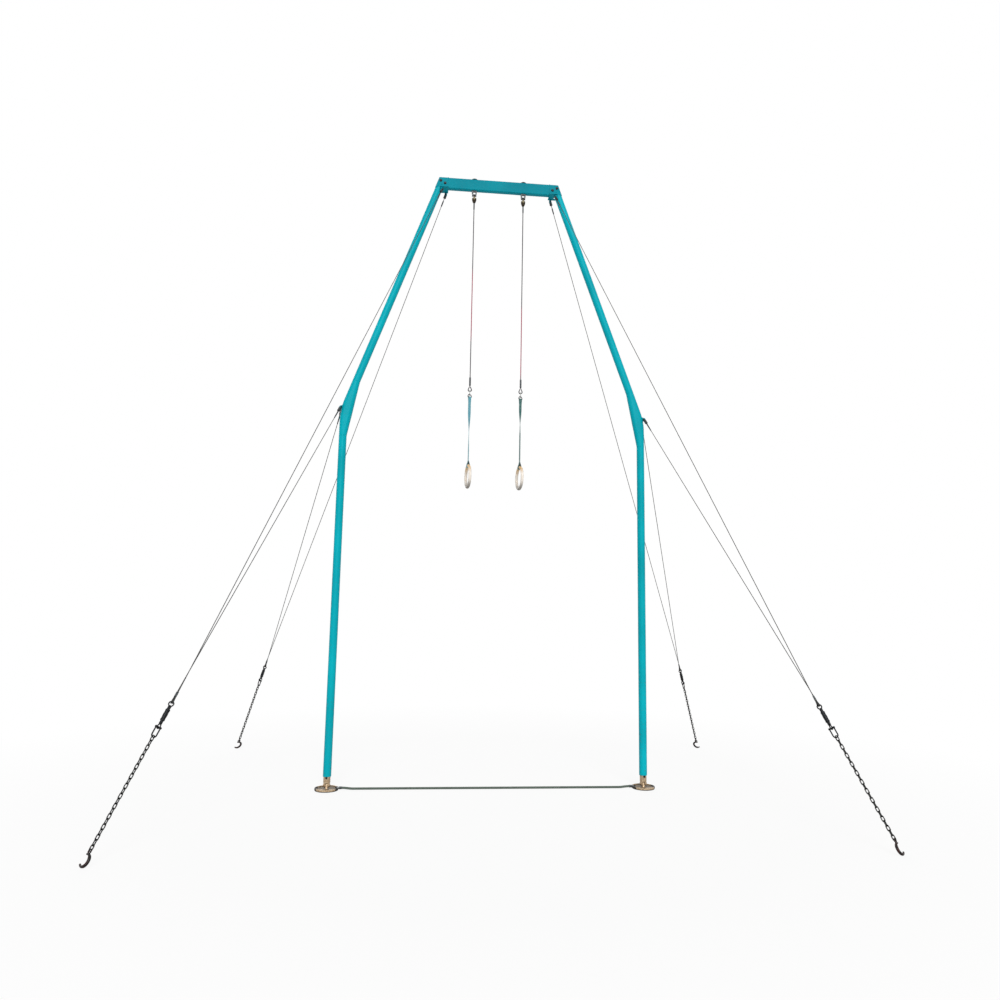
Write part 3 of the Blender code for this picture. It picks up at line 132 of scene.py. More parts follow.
def mirrored(parts):
    """The same parts on the other side of x = 0, turned so that their faces still point out."""
    flip = np.array([-1.0, 1.0, 1.0])
    return [{"points": p["points"] * flip, "faces": [f[:, ::-1] for f in p["faces"]],
             "corners": [c[:, ::-1] for c in p["corners"]], "extra": p["extra"]} for p in parts]


# %% Make a piece from its parts
SHARP_ABOVE = math.radians(38)
PIECES = []


def piece(name, parts, material, body, replaces=()):
    """One object of several shells, in world coordinates, riding on a body of the frame."""
    starts = np.concatenate([[0], np.cumsum([len(p["points"]) for p in parts])])
    points = np.concatenate([p["points"] for p in parts])
    extra = np.concatenate([p["extra"] for p in parts])
    faces = [f + start for p, start in zip(parts, starts) for f in p["faces"]]
    corners = [c for p in parts for c in p["corners"]]
    sizes = np.concatenate([np.full(len(f), f.shape[1]) for f in faces])
    mesh = bpy.data.meshes.new(name)
    mesh.vertices.add(len(points))
    mesh.vertices.foreach_set("co", points.astype(np.float32).ravel())
    mesh.loops.add(int(sizes.sum()))
    mesh.loops.foreach_set("vertex_index", np.concatenate([f.ravel() for f in faces]).astype(np.int32))
    mesh.polygons.add(len(sizes))
    mesh.polygons.foreach_set("loop_start", np.concatenate([[0], np.cumsum(sizes)[:-1]]).astype(np.int32))
    mesh.polygons.foreach_set("use_smooth", np.ones(len(sizes), bool))
    mesh.update(calc_edges=True)
    layer = mesh.uv_layers.new(name="along")
    layer.data.foreach_set("uv", np.concatenate([c.ravel() for c in corners]).astype(np.float32))
    if extra.any():
        mesh.attributes.new("grain", "FLOAT_VECTOR", "POINT").data.foreach_set("vector", extra.ravel())
    mesh.validate()
    mesh.set_sharp_from_angle(angle=SHARP_ABOVE)
    mesh.materials.append(material)
    made = bpy.data.objects.new(name, mesh)
    bpy.context.scene.collection.objects.link(made)
    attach(made, body)
    if replaces:
        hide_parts(*replaces)
    PIECES.append(made)
    return made


def both_sides(name, parts, material, body="frame", replaces=()):
    """A piece of the right half and its mirror image. A * in a name or body stands for the side."""
    for side, made in (("right", parts), ("left", mirrored(parts))):
        yield piece(name.replace("*", side), made, material, body.replace("*", side),
                    [n.replace("*", side) for n in replaces])


# %% Profiles carried along paths
def circle(sides):
    """Points of a unit circle, as an array of (cosine, sine)."""
    turn = (np.arange(sides) + 0.5) * math.tau / sides
    return np.stack([np.cos(turn), np.sin(turn)], -1)


def sweep(path, section, normal, closed=False, extra=None):
    """P(i, j) = path(i) + a(j) * side(i) + b(j) * normal(i), where (a, b) is the section.

    The side is square to the path and to the normal. The section may differ from station to station.
    """
    path = np.asarray(path, float)
    if closed:
        tangent = unit(np.roll(path, -1, 0) - np.roll(path, 1, 0))
    else:
        tangent = unit(np.gradient(path, axis=0))
    normal = np.broadcast_to(np.asarray(normal, float), path.shape)
    side = unit(np.cross(tangent, normal))
    normal = unit(np.cross(side, tangent))
    section = np.broadcast_to(section, (len(path),) + np.shape(section)[-2:])
    points = (path[:, None] + section[..., :1] * side[:, None] + section[..., 1:] * normal[:, None])
    return shell(points, closed=closed, extra=extra)


def rod(path, radius, normal, closed=False, sides=16):
    """Round bar along a path. The radius is one number, or one for each station."""
    path = np.asarray(path, float)
    radius = np.broadcast_to(radius, (len(path),))
    return sweep(path, circle(sides) * radius[:, None, None], normal, closed)


def turned(profile, start, direction, sides=48, side=None):
    """Shape turned about a line: each (height, radius) of the profile is a circle about the line."""
    profile = np.asarray(profile, float)
    axis = unit(direction)
    first = unit(np.cross(axis, (0.0, 0.0, 1.0) if abs(axis[2]) < 0.9 else (0.0, 1.0, 0.0))
                 if side is None else np.asarray(side, float) - np.dot(side, axis) * axis)
    second = np.cross(axis, first)
    ring = circle(sides)
    spokes = ring[:, :1] * first + ring[:, 1:] * second
    return shell(np.asarray(start, float) + profile[:, 0, None, None] * axis
                 + profile[:, 1, None, None] * spokes)


def eased(profile, ease):
    """Each inner corner of a profile is cut off at this distance before and after it."""
    p = np.asarray(profile, float)
    back, ahead = p[:-2] - p[1:-1], p[2:] - p[1:-1]
    short = np.minimum(np.linalg.norm(back, axis=1), np.linalg.norm(ahead, axis=1))
    cutoff = np.minimum(ease, short * 0.45)[:, None]
    pair = np.stack([p[1:-1] + unit(back) * cutoff, p[1:-1] + unit(ahead) * cutoff], 1)
    return np.concatenate([p[:1], pair.reshape(-1, 2), p[-1:]])


CORE = 0.0005


def stepped(heights, radii, ease=0.0006):
    """Profile of a solid pin: radius k runs from height k to height k + 1. A thin core closes both ends."""
    radius = np.concatenate([[CORE], np.repeat(radii, 2), [CORE]])
    return eased(np.stack([np.repeat(heights, 2), radius], -1), ease)


def plate(outline, thickness, origin, across, up, ease=0.0006):
    """Flat plate of an outline in the plane of two directions, with its rims eased.

    Four copies of the outline make the wall: two drawn in by the easing at the faces, two full ones.
    """
    outline = np.asarray(outline, float)
    across, up = unit(across), unit(up)
    out = np.cross(across, up)
    middle = outline.mean(0)
    drawn = outline - unit(outline - middle) * ease
    half = thickness / 2
    layers = [(drawn, -half), (outline, ease - half), (outline, half - ease), (drawn, half)]
    grid = [origin + o[:, :1] * across + o[:, 1:] * up + h * out for o, h in layers]
    return shell(np.array(grid))


def arc(radius, start, end, steps, middle=(0.0, 0.0)):
    """Points of an arc, its ends included. Angles are in degrees."""
    turn = np.radians(np.linspace(start, end, steps + 1))
    return np.stack([middle[0] + radius * np.cos(turn), middle[1] + radius * np.sin(turn)], -1)


def lifted(flat, origin, across, up):
    """Points of a plane in space: origin + a * across + b * up."""
    flat = np.asarray(flat, float)
    return np.asarray(origin, float) + flat[:, :1] * np.asarray(across) + flat[:, 1:] * np.asarray(up)


def teardrop(radius, height, steps=24):
    """Closed path of a loop of rod: an arc about the origin, drawn up to a point above it."""
    rise = math.degrees(math.asin(radius / height))
    return np.concatenate([[(0.0, height)], arc(radius, rise, -180 - rise, steps)])


def stadium(radius, length, steps=12):
    """Closed path of a long link about the origin."""
    half = length / 2 - radius
    return np.concatenate([arc(radius, 0, 180, steps, (0, half)), arc(radius, 180, 360, steps, (0, -half))])


RIPPLE, RIPPLE_SHARE = 0.003, 0.12


def weld(start, end, radius, normal):
    """Straight bead of weld: a rod whose radius ripples as r * (1 + 0.12 * sin), one wave every 3 mm."""
    length = np.linalg.norm(end - start)
    s = np.linspace(0, length, max(8, int(length / (RIPPLE / 4))))
    ends = np.clip(np.minimum(s, length - s) / 0.002, 0.25, 1)
    return rod(start + (end - start) * (s / length)[:, None],
               radius * ends * (1 + RIPPLE_SHARE * np.sin(math.tau * s / RIPPLE)), normal, sides=8)


# %% [markdown]
# ## Helpers for materials
# A colour is picked as it looks on screen, in hex, and Blender wants light levels, so one function turns
# one into the other. Another adds a shader node with its settings and its links in one call. Every
# pattern reads Object coordinates, which are metres here, or the piece's own UV, whose first number is
# the distance along the piece in metres and whose second is the part of a turn round it. The last helper
# puts a material together: layers of colour from the ground up, a roughness, and reliefs on top of each
# other. A noise of scale 1 / s has features about s metres across.

# %% Colours and nodes
def hue(code):
    """Linear colour of an sRGB hex value."""
    level = np.array([int(code[k:k + 2], 16) for k in (0, 2, 4)]) / 255
    return (*np.where(level <= 0.04045, level / 12.92, ((level + 0.055) / 1.055) ** 2.4), 1.0)


def add_node(tree, kind, inputs=(), output=0, **settings):
    """Add a shader node and give one of its outputs.

    The inputs are a list in the order of the sockets, or {socket: value}. A value that is a socket of
    another node is linked, and any other is set.
    """
    made = tree.nodes.new("ShaderNode" + kind)
    for name, value in settings.items():
        setattr(made, name, value)
    for socket, value in inputs.items() if isinstance(inputs, dict) else enumerate(inputs):
        if isinstance(value, bpy.types.NodeSocket):
            tree.links.new(value, made.inputs[socket])
        else:
            made.inputs[socket].default_value = value
    return made.outputs[output]


def new_material(name, roughness, metallic=0.0, **sockets):
    """Material with a Principled shader, the adding of nodes to it, and its Object coordinates."""
    material = bpy.data.materials.new(name)
    material.use_nodes = True
    shader = material.node_tree.nodes["Principled BSDF"]
    for socket, value in {"Roughness": roughness, "Metallic": metallic, **sockets}.items():
        shader.inputs[socket.replace("_", " ")].default_value = value
    add = partial(add_node, material.node_tree)
    return material, add, add("TexCoord", output="Object")


def dress(material, layers, reliefs, roughness=None, metallic=None):
    """Fill in a material's shader and give the material back.

    The first layer is a colour, and each further one is the share it covers and its colour. A relief is
    a height from 0 to 1 and what 1 is in metres, the finest first.
    """
    tree = material.node_tree
    tone, *covers = layers
    tone = hue(tone)
    for share, cover in covers:
        cover = hue(cover) if isinstance(cover, str) else cover
        tone = add_node(tree, "Mix", {0: share, 6: tone, 7: cover}, 2, data_type="RGBA")
    normal = {}
    for height, depth in reliefs:
        normal = {"Normal": add_node(tree, "Bump", {"Height": height, "Distance": depth, "Strength": 1.0,
                                                    **normal})}
    links = {"Base Color": tone, "Roughness": roughness, "Metallic": metallic, **normal}
    for socket, value in links.items():
        if value:
            tree.links.new(value, tree.nodes["Principled BSDF"].inputs[socket])
    return material


# %% [markdown]
# ## Paint of the frame
# The tubes and the beam are steel with a baked teal powder coat. Powder flows into a film with a faint
# orange peel of about 3 mm, its colour is even, and it is scuffed and chipped where people and tools
# touch it, most of all low down. Steel grey shows in the chips. The beam and its heads get a darker copy
# of the teal: painted shade, so that they look darker than the tubes. Their film is also duller.

# %% Teal powder coat
def make_teal(name, low, high, gloss):
    """Powder-coated steel: IOR 1.5, a dull half-gloss film, orange peel, small chips near the floor."""
    material, add, place = new_material(name, 0.42, IOR=1.5, Specular_IOR_Level=0.08)
    cloud = add("TexNoise", {"Vector": place, "Scale": 1 / 0.45, "Detail": 2.0})
    dust = add("TexNoise", {"Vector": place, "Scale": 1 / 0.02, "Detail": 5.0, "Roughness": 0.65})
    worn = add("MapRange", [add("SeparateXYZ", [place], "Z"), 0.1, 1.6, 0.675, 0.735])
    spots = add("TexNoise", {"Vector": place, "Scale": 1 / 0.012, "Detail": 2.0, "Roughness": 0.4})
    chip = add("MapRange", [add("Math", [spots, worn], operation="SUBTRACT"), 0.0, 0.012])
    pit = add("Math", [chip, -1.0], operation="MULTIPLY")
    peel = add("TexNoise", {"Vector": place, "Scale": 1 / 0.003, "Detail": 1.0})
    return dress(material, [low, (add("MapRange", [cloud, 0.3, 0.7]), high),
                            (add("MapRange", [dust, 0.52, 0.75, 0.0, 0.14]), "129DA8"), (chip, "4E5A59")],
                 [(peel, 0.00003), (pit, 0.00012)], add("MapRange", [dust, 0.35, 0.7, *gloss]))


TEAL = make_teal("teal powder coat", "0095A2", "00AAB8", (0.36, 0.50))
# Darker copy of the teal for the beam, the heads and the brackets: painted shade.
SHADED_BEAM_TEAL = make_teal("teal powder coat with painted shade", "007E8E", "00909F", (0.52, 0.66))

# %% [markdown]
# ## Bare and plated metals
# The small fittings aren't painted. The yokes are hot-dip galvanised: dull, with crystals a few
# millimetres wide. The feet have yellow zinc, whose tan film is cloudy. The turnbuckles are blackened, the
# chain is oiled dark, the long links are zinc, and the swivels have a dull brass band. Metals share one
# build: a base tone, a second tone in clouds or crystals, a roughness that follows them, and fine relief.

# %% Metals
def make_metal(name, tones, size, roughness, crystals=False, relief=0.00004, dirt="2B2A27", metallic=1.0,
               grimy=0.55, has_painted_shade=False, shine=0.5):
    """Metal with two tones in patches of a size in metres, and dirt in clouds.

    Shine is the specular level, low where a film takes the gleam away. A piece with painted shade has a
    grain
    attribute: its first number is the share of brown painted shade on each point, its second that of dark
    grey painted shade. Where either lies, the metallic drops to 0.
    """
    material, add, place = new_material(name, roughness[0], metallic, Specular_IOR_Level=shine)
    if crystals:
        patch = add("TexVoronoi", {"Vector": place, "Scale": 1 / size}, "Color")
        patch = add("SeparateColor", [patch])
    else:
        patch = add("TexNoise", {"Vector": place, "Scale": 1 / size, "Detail": 4.0, "Roughness": 0.6})
        patch = add("MapRange", [patch, 0.35, 0.65])
    grime = add("TexNoise", {"Vector": place, "Scale": 1 / 0.03, "Detail": 5.0, "Roughness": 0.7})
    layers = [tones[0], (patch, tones[1]), (add("MapRange", [grime, 0.55, 0.78, 0.0, grimy]), dirt)]
    bare = None
    if has_painted_shade:
        grain = add("Attribute", output="Vector", attribute_name="grain")
        # Painted shade from the grain attribute: the first number brown, the second (rubber) dark grey.
        dish_shade, rubber = (add("SeparateXYZ", [grain], axis) for axis in "XY")
        layers += [(dish_shade, "453414"), (rubber, "2C2D2E")]
        shaded_share = add("Math", [dish_shade, rubber], operation="MAXIMUM")
        bare = add("MapRange", [shaded_share, 0.0, 1.0, metallic, 0.0])
    fine = add("TexNoise", {"Vector": place, "Scale": 1 / 0.0015, "Detail": 3.0, "Roughness": 0.6})
    return dress(material, layers, [(fine, relief)], add("MapRange", [patch, 0.0, 1.0, *roughness]), bare)


GALVANISED = make_metal("hot-dip galvanised steel", ("4C5153", "6C7172"), 0.006, (0.60, 0.74),
                        crystals=True)
YELLOW_ZINC = make_metal("yellow zinc plate", ("A0866A", "C2AE92"), 0.012, (0.34, 0.5), dirt="6A5640",
                         metallic=0.5, grimy=0.3, has_painted_shade=True, shine=0.06)
BLACKENED = make_metal("blackened steel", ("1B1C1E", "343638"), 0.010, (0.42, 0.6), relief=0.00006)
CHAIN_STEEL = make_metal("oiled chain steel", ("1F2021", "3D3E3C"), 0.008, (0.4, 0.55))
ZINC = make_metal("zinc plate", ("8B8D8C", "B4B6B3"), 0.008, (0.28, 0.45))
DARK_BRONZE = make_metal("dark bronze", ("2B261F", "4B4336"), 0.010, (0.4, 0.55))
BRASS = make_metal("dull brass", ("57523F", "77705A"), 0.009, (0.35, 0.5), dirt="35322A")
SWAGED = make_metal("swaged steel", ("303334", "54585A"), 0.010, (0.32, 0.48))

# %% [markdown]
# ## Lacquered hooks
# The floor hooks are forged and dipped in black lacquer. Where the anchors rub it, dark red primer shows.

# %% Black lacquer over red primer
def make_lacquer():
    """Forged iron in black lacquer: IOR 1.5, forge scale of 4 mm, primer in worn patches, bare spots."""
    material, add, place = new_material("black lacquer on forged iron", 0.45, IOR=1.5,
                                        Specular_IOR_Level=0.3)
    rubbed = add("TexNoise", {"Vector": place, "Scale": 1 / 0.022, "Detail": 4.0, "Roughness": 0.65})
    wear = add("MapRange", [rubbed, 0.5, 0.6])
    spots = add("TexNoise", {"Vector": place, "Scale": 1 / 0.009, "Detail": 3.0, "Roughness": 0.6})
    scale = add("TexNoise", {"Vector": place, "Scale": 1 / 0.004, "Detail": 2.0})
    hollow = add("Math", [wear, -1.0], operation="MULTIPLY")
    return dress(material, ["0A0707", (wear, "35110E"), (add("MapRange", [spots, 0.70, 0.74]), "5A5654")],
                 [(scale, 0.0002), (hollow, 0.0001)], add("MapRange", [wear, 0.0, 1.0, 0.35, 0.7]))


LACQUER = make_lacquer()

# %% [markdown]
# ## Wire rope
# A guy is a 6 mm steel rope of six strands round a core. Seen from the side, a strand is a slanted ridge
# that comes round again after one lay, about 6.5 rope diameters. With u the distance along the rope and v
# the part of a turn round it, the height of the surface is the size of sin(pi * (6 v - u / pitch)), where
# the pitch between ridges is the lay divided by six. Each strand has wires of its own, laid the other way.
# The ropes of the rings are 9 mm. Each has a run of about 0.7 m that is dark red with old paint, and the
# right one's lies lower than the left one's.

# %% Stranded rope
def make_rope(name, diameter, strands, tones, roughness, metallic, lays=6.5, red=None):
    """Rope whose strands are ridges on a slant, worked out from the UV of the piece.

    Between the two distances of red, in metres along the rope, it wears old dark red paint.
    """
    material, add, place = new_material(name, roughness, metallic)
    uv = add("UVMap", output="UV", uv_map="along")
    along, round_it = (add("SeparateXYZ", [uv], axis) for axis in "XY")
    pitch = diameter * lays / strands

    def ridges(count, spacing, way):
        """|sin(pi * (count * v + way * u / spacing))|, from 0 in the hollows to 1 on the ridges."""
        turn = add("Math", [add("Math", [round_it, count], operation="MULTIPLY"),
                            add("Math", [along, spacing], operation="DIVIDE")], operation=way)
        wave = add("Math", [add("Math", [turn, math.pi], operation="MULTIPLY")], operation="SINE")
        return add("Math", [wave], operation="ABSOLUTE")

    strand = ridges(strands, pitch, "SUBTRACT")
    wire = ridges(strands * 5.0, pitch / 3, "ADD")
    # The hollows between the strands get the dark tone and the crests the light one: painted shade in the
    # hollows. The red paint below is shaded the same way.
    ridge = add("MapRange", [strand, 0.0, 0.65])
    greasy = add("TexNoise", {"Vector": place, "Scale": 1 / 0.08, "Detail": 4.0})
    layers = [tones[0], (ridge, tones[1]), (add("MapRange", [greasy, 0.45, 0.75, 0.0, 0.5]), tones[2])]
    if red:
        painted = add("Math", [add("MapRange", [along, red[0] - 0.04, red[0] + 0.04]),
                               add("MapRange", [along, red[1] + 0.04, red[1] - 0.04])],
                      operation="MULTIPLY")
        layers.append((painted, add("Mix", {0: ridge, 6: hue("581226"), 7: hue("9C2F4A")}, 2,
                                    data_type="RGBA")))
    return dress(material, layers, [(wire, diameter * 0.012), (strand, diameter * 0.10)])


GUY_WIRE = make_rope("greased wire rope", 0.006, 6, ("161717", "3F403E", "35312C"), 0.45, 0.6)
RING_WIRE = {side: make_rope(f"wire rope of the {side} ring", 0.009, 6, ("121113", "363436", "4A3335"),
                             0.42, 0.5, red=run)
             for side, run in (("left", (0.66, 1.36)), ("right", (1.02, 1.72)))}
TIE_ROPE = make_rope("laid polyester rope", 0.020, 3, ("28302C", "59665C", "3C463F"), 0.75, 0.0, 3.2)

# %% [markdown]
# ## Webbing
# The straps are woven polyester, 35 mm wide. The warp shows as ribs along the strap about 1.7 mm apart,
# and the weft crosses them every 1.3 mm. The edges are woven tighter and look paler. The UV of a strap
# runs along it in metres, and the grain attribute gives the distance across it.

# %% Woven polyester
def make_webbing(name, low, high, edge):
    """Woven strap: ribs along it, weft across it, a paler selvedge and fuzz at grazing angles."""
    material, add, place = new_material(name, 0.85, Sheen_Weight=0.25, Sheen_Roughness=0.5)
    along = add("SeparateXYZ", [add("UVMap", output="UV", uv_map="along")], "X")
    across = add("SeparateXYZ", [add("Attribute", output="Vector", attribute_name="grain")], "X")
    warp, weft = (add("Math", [add("Math", [distance, math.tau / wave], operation="MULTIPLY")],
                      operation="SINE") for distance, wave in ((across, 0.0017), (along, 0.0026)))
    # The weave is lighter where its threads rise and darker where they dip: the weave's pattern, with
    # painted shade in the dips.
    weave = add("MapRange", [add("Math", [warp, weft], operation="MULTIPLY"), -1.0, 1.0])
    border = add("MapRange", [add("Math", [across], operation="ABSOLUTE"), 0.0145, 0.0152])
    chalk = add("TexNoise", {"Vector": place, "Scale": 1 / 0.03, "Detail": 5.0, "Roughness": 0.65})
    fuzz = add("TexNoise", {"Vector": place, "Scale": 1 / 0.0008, "Detail": 2.0})
    return dress(material, [low, (weave, high), (add("Math", [border, 0.7], operation="MULTIPLY"), edge),
                            (add("MapRange", [chalk, 0.5, 0.8, 0.0, 0.2]), "DDE3DF")],
                 [(fuzz, 0.0001), (weave, 0.00035)])


WEBBING = {"left": make_webbing("faded teal webbing", "3F8494", "6BAFBE", "86B2B8"),
           "right": make_webbing("deep teal webbing", "0F4A47", "276E69", "2E6B66")}

# %% [markdown]
# ## Wood of the rings
# A competition ring is bent from thin veneers of pale hardwood glued round the ring, then turned round
# and left unvarnished, so that chalk grips it. On its surface the glue lines run round the ring where the
# veneers meet the outside, and the grain streaks follow them. The grain attribute holds the distance out
# from the middle of the wood and along the ring's axis, and the pattern stretches along the ring by
# reading the place slowly and that distance fast. Below the strap the wood is whiter: chalk, and a painted
# highlight where the ring faces the light. At the bottom it is grey: ground-in chalk, and painted shade
# on the underside.

# %% Bent hardwood
def make_wood():
    """Laminated pale hardwood: 2.2 mm veneers, pores, a whiter band of chalk and painted highlight, and
    grey at the grip of ground-in chalk and painted shade.
    """
    material, add, place = new_material("bent laminated ash", 0.5, IOR=1.5)
    grain = add("Attribute", output="Vector", attribute_name="grain")

    def streaks(slow, fast, detail, roughness):
        """Noise that is drawn out along the ring: place * slow + grain * fast."""
        parts = [add("VectorMath", {0: vector, "Scale": scale}, operation="SCALE")
                 for vector, scale in ((place, slow), (grain, fast))]
        return add("TexNoise", {"Vector": add("VectorMath", parts, operation="ADD"), "Scale": 1.0,
                                "Detail": detail, "Roughness": roughness})

    streak = streaks(9.0, 420.0, 5.0, 0.6)
    pore = add("MapRange", [streaks(60.0, 1800.0, 1.0, 0.5), 0.62, 0.7])
    veneer = add("Math", [add("SeparateXYZ", [grain], "X"), math.pi / 0.0022], operation="MULTIPLY")
    veneer = add("Math", [add("Math", [veneer], operation="SINE")], operation="ABSOLUTE")
    height = add("SeparateXYZ", [place], "Z")
    cloud = add("TexNoise", {"Vector": place, "Scale": 1 / 0.035, "Detail": 4.0, "Roughness": 0.6})
    # Chalk: whiter below the strap, chalk and a painted highlight. Grip: grey at the bottom, ground-in
    # chalk and painted shade.
    chalk, grip = (add("Math", [add("MapRange", [height, *heights]), add("MapRange", [cloud, *clouds])],
                       operation="MULTIPLY")
                   for heights, clouds in (((2.98, 2.925), (0.2, 0.6, 0.75, 1.0)),
                                           ((2.85, 2.79), (0.25, 0.6, 0.5, 0.95))))
    return dress(material, ["C79A62", (add("MapRange", [streak, 0.32, 0.68]), "EBCB98"),
                            (add("MapRange", [veneer, 0.0, 0.28, 0.55, 0.0]), "9C7242"),
                            (chalk, "ECE4DA"), (grip, "77736E"),
                            (add("Math", [pore, 0.45], operation="MULTIPLY"), "8A633A")],
                 [(add("Math", [streak, pore], operation="SUBTRACT"), 0.00012)],
                 add("MapRange", [streak, 0.3, 0.7, 0.42, 0.58]))


WOOD = make_wood()

# %% [markdown]
# ## Rubber, a dark wedge and thread
# The pads under the feet are moulded black rubber, dusty and slightly pebbled. A dark wedge with a leather
# texture sits in each strap's lower loop: painted shade, for the inside of the loop. The straps are sewn
# with pale bonded thread. Each material is paired with the slot of the solids that it stands for.

# %% Rubber, a dark wedge and thread
def make_rubber():
    """Moulded rubber: matt, 1.2 mm pebbles, pale dust in clouds."""
    material, add, place = new_material("moulded black rubber", 0.85, IOR=1.52)
    dust = add("TexNoise", {"Vector": place, "Scale": 1 / 0.04, "Detail": 5.0, "Roughness": 0.65})
    pebble = add("TexNoise", {"Vector": place, "Scale": 1 / 0.0012, "Detail": 2.0})
    return dress(material, ["1A1A1A", (add("MapRange", [dust, 0.4, 0.8, 0.0, 0.5]), "5A5751")],
                 [(pebble, 0.0001)])


def make_thread():
    """Bonded sewing thread: pale, faintly glossy."""
    material, add, place = new_material("sewing thread", 0.55, Sheen_Weight=0.2)
    cloud = add("TexNoise", {"Vector": place, "Scale": 1 / 0.002, "Detail": 2.0})
    twist = add("TexNoise", {"Vector": place, "Scale": 1 / 0.0004, "Detail": 1.0})
    return dress(material, ["9FB8B4", (cloud, "DADFD8")], [(twist, 0.00004)])


def make_shade_wedge():
    """Dark leather-like fill, painted shade in the strap's loop: IOR 1.5, pebbles of 1.5 mm with dark
    hollows, dull sheen.
    """
    material, add, place = new_material("dark fill of painted shade", 0.6, IOR=1.5, Specular_IOR_Level=0.3)
    pebble = add("TexVoronoi", {"Vector": place, "Scale": 1 / 0.0015}, "Distance")
    worn = add("TexNoise", {"Vector": place, "Scale": 1 / 0.012, "Detail": 3.0})
    return dress(material, ["3B4A46", (add("MapRange", [pebble, 0.1, 0.6]), "1D2524"),
                            (add("MapRange", [worn, 0.5, 0.75, 0.0, 0.5]), "5E5A4E")],
                 [(add("Math", [pebble, -1.0], operation="MULTIPLY"), 0.0002)])


RUBBER, THREAD, SHADE_WEDGE = make_rubber(), make_thread(), make_shade_wedge()
SLOTS = {material: slot for slot, materials in {
    "teal_paint": [TEAL], "yellow_zinc": [YELLOW_ZINC], "galvanised_steel": [GALVANISED], "brass": [BRASS],
    "dark_steel": [BLACKENED, SWAGED, DARK_BRONZE], "bright_steel": [CHAIN_STEEL, ZINC],
    "hook_iron": [LACQUER], "wire_rope": [GUY_WIRE, *RING_WIRE.values()], "tie_rope": [TIE_ROPE],
    "webbing_light": [WEBBING["left"], THREAD], "webbing_dark": [WEBBING["right"], SHADE_WEDGE],
    "ring_wood": [WOOD], "black_rubber": [RUBBER]}.items() for material in materials}
print("materials:", len(bpy.data.materials), "slots:", len(set(SLOTS.values())))

# %% [markdown]
# ## Finish of the solids that stay
# The beam, the heads, the brackets under them and the swing blocks already have their true shape, so
# they only get their finish.

# %% Dress the solids that stay
X, Y, Z = np.eye(3)
KEPT = {"crossbeam": SHADED_BEAM_TEAL, "post_head": SHADED_BEAM_TEAL, "guy_bracket": SHADED_BEAM_TEAL, "swing_block": BLACKENED}
for name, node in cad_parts.items():
    for start, material in KEPT.items():
        if name.startswith(start):
            node.data.materials.clear()
            node.data.materials.append(material)
print("kept:", sorted(KEPT))

# %% [markdown]
# ## Posts
# Each side of the frame is an upright tube, a bent knee and a slanted tube, 73 mm across. A tube is a
# loft through rings of points: outside, over the rim, inside, and back. The upper tube is cut level where
# it meets the head, so its last rings lie in a plane that isn't square to its axis. A ring's point is
# moved along the axis until it lies in that plane.

# %% Posts
POST_X = 1.4535
POST_RADIUS, POST_BORE = 0.0365, 0.0335
KNEE = np.array([POST_X, 0.0, 3.495])
BEAM_BOTTOM, BEAM_TOP = 5.832, 5.948
HEAD = np.array([0.569, 0.0, BEAM_TOP])
SLANT = unit(HEAD - KNEE)
KNEE_BELOW, KNEE_ABOVE, KNEE_BEND = 0.25, 0.31, 0.10
GAP = 0.0003
POST_FOOT = 0.1183
AROUND = 64


def on_slant(height):
    """Point of the upper post's axis at a height."""
    return KNEE + SLANT * ((height - KNEE[2]) / SLANT[2])


def cut_tube(low, low_normal, high, high_normal, ease=0.0008):
    """Tube whose ends lie in given planes: a loft out, over the eased rim, in, and over the other rim."""
    axis = unit(high - low)
    side = np.cross(Y, axis)
    ring = circle(AROUND)
    rows = []
    for radius, point, normal, shift in (
            (POST_RADIUS - ease, low, low_normal, 0), (POST_RADIUS, low, low_normal, ease),
            (POST_RADIUS, high, high_normal, -ease), (POST_RADIUS - ease, high, high_normal, 0),
            (POST_BORE + ease, high, high_normal, 0), (POST_BORE, high, high_normal, -ease),
            (POST_BORE, low, low_normal, ease), (POST_BORE + ease, low, low_normal, 0)):
        spokes = radius * (ring[:, :1] * side + ring[:, 1:] * Y)
        slide = (spokes @ normal) / (axis @ normal)
        rows.append(point + axis * shift + spokes - slide[:, None] * axis)
    return [shell(np.array(rows), closed=True)]


lower_tube = cut_tube(np.array([POST_X, 0, POST_FOOT]), Z, KNEE - Z * (KNEE_BELOW + GAP), Z)
upper_tube = cut_tube(KNEE + SLANT * (KNEE_ABOVE + GAP), SLANT, on_slant(BEAM_BOTTOM - GAP), Z)
posts = [*both_sides("lower_tube_*", lower_tube, TEAL, replaces=["lower_post_*"]),
         *both_sides("upper_tube_*", upper_tube, TEAL, replaces=["upper_post_*"])]
print("post tubes:", len(posts))

# %% [markdown]
# ## Knees
# At the knee the tube bends and a web fills the inside of the bend. Its section is two half circles, one
# about the tube's axis and one about the web's edge, joined by straight sides. The axis is a quadratic
# curve P(t) = A (1 - t)^2 + K 2 t (1 - t) + B t^2. Two lugs for the lower guys are welded on, one
# towards the front and one towards the rear.

# %% Knees and their lugs
LUG_HEIGHT, LUG_REACH, LUG_RADIUS, LUG_THICKNESS, LUG_ROOT = 3.515, 0.054, 0.013, 0.008, 0.006
FRONT_EAR_INSET, REAR_EAR_INSET, EAR_Y, EAR_DROP = 0.033, 0.073, 0.049, 0.032
ANCHOR_X, ANCHOR_Y = 2.71, 2.005
CHAIN_AIM, JUNCTION_REACH = 0.40, 1.108


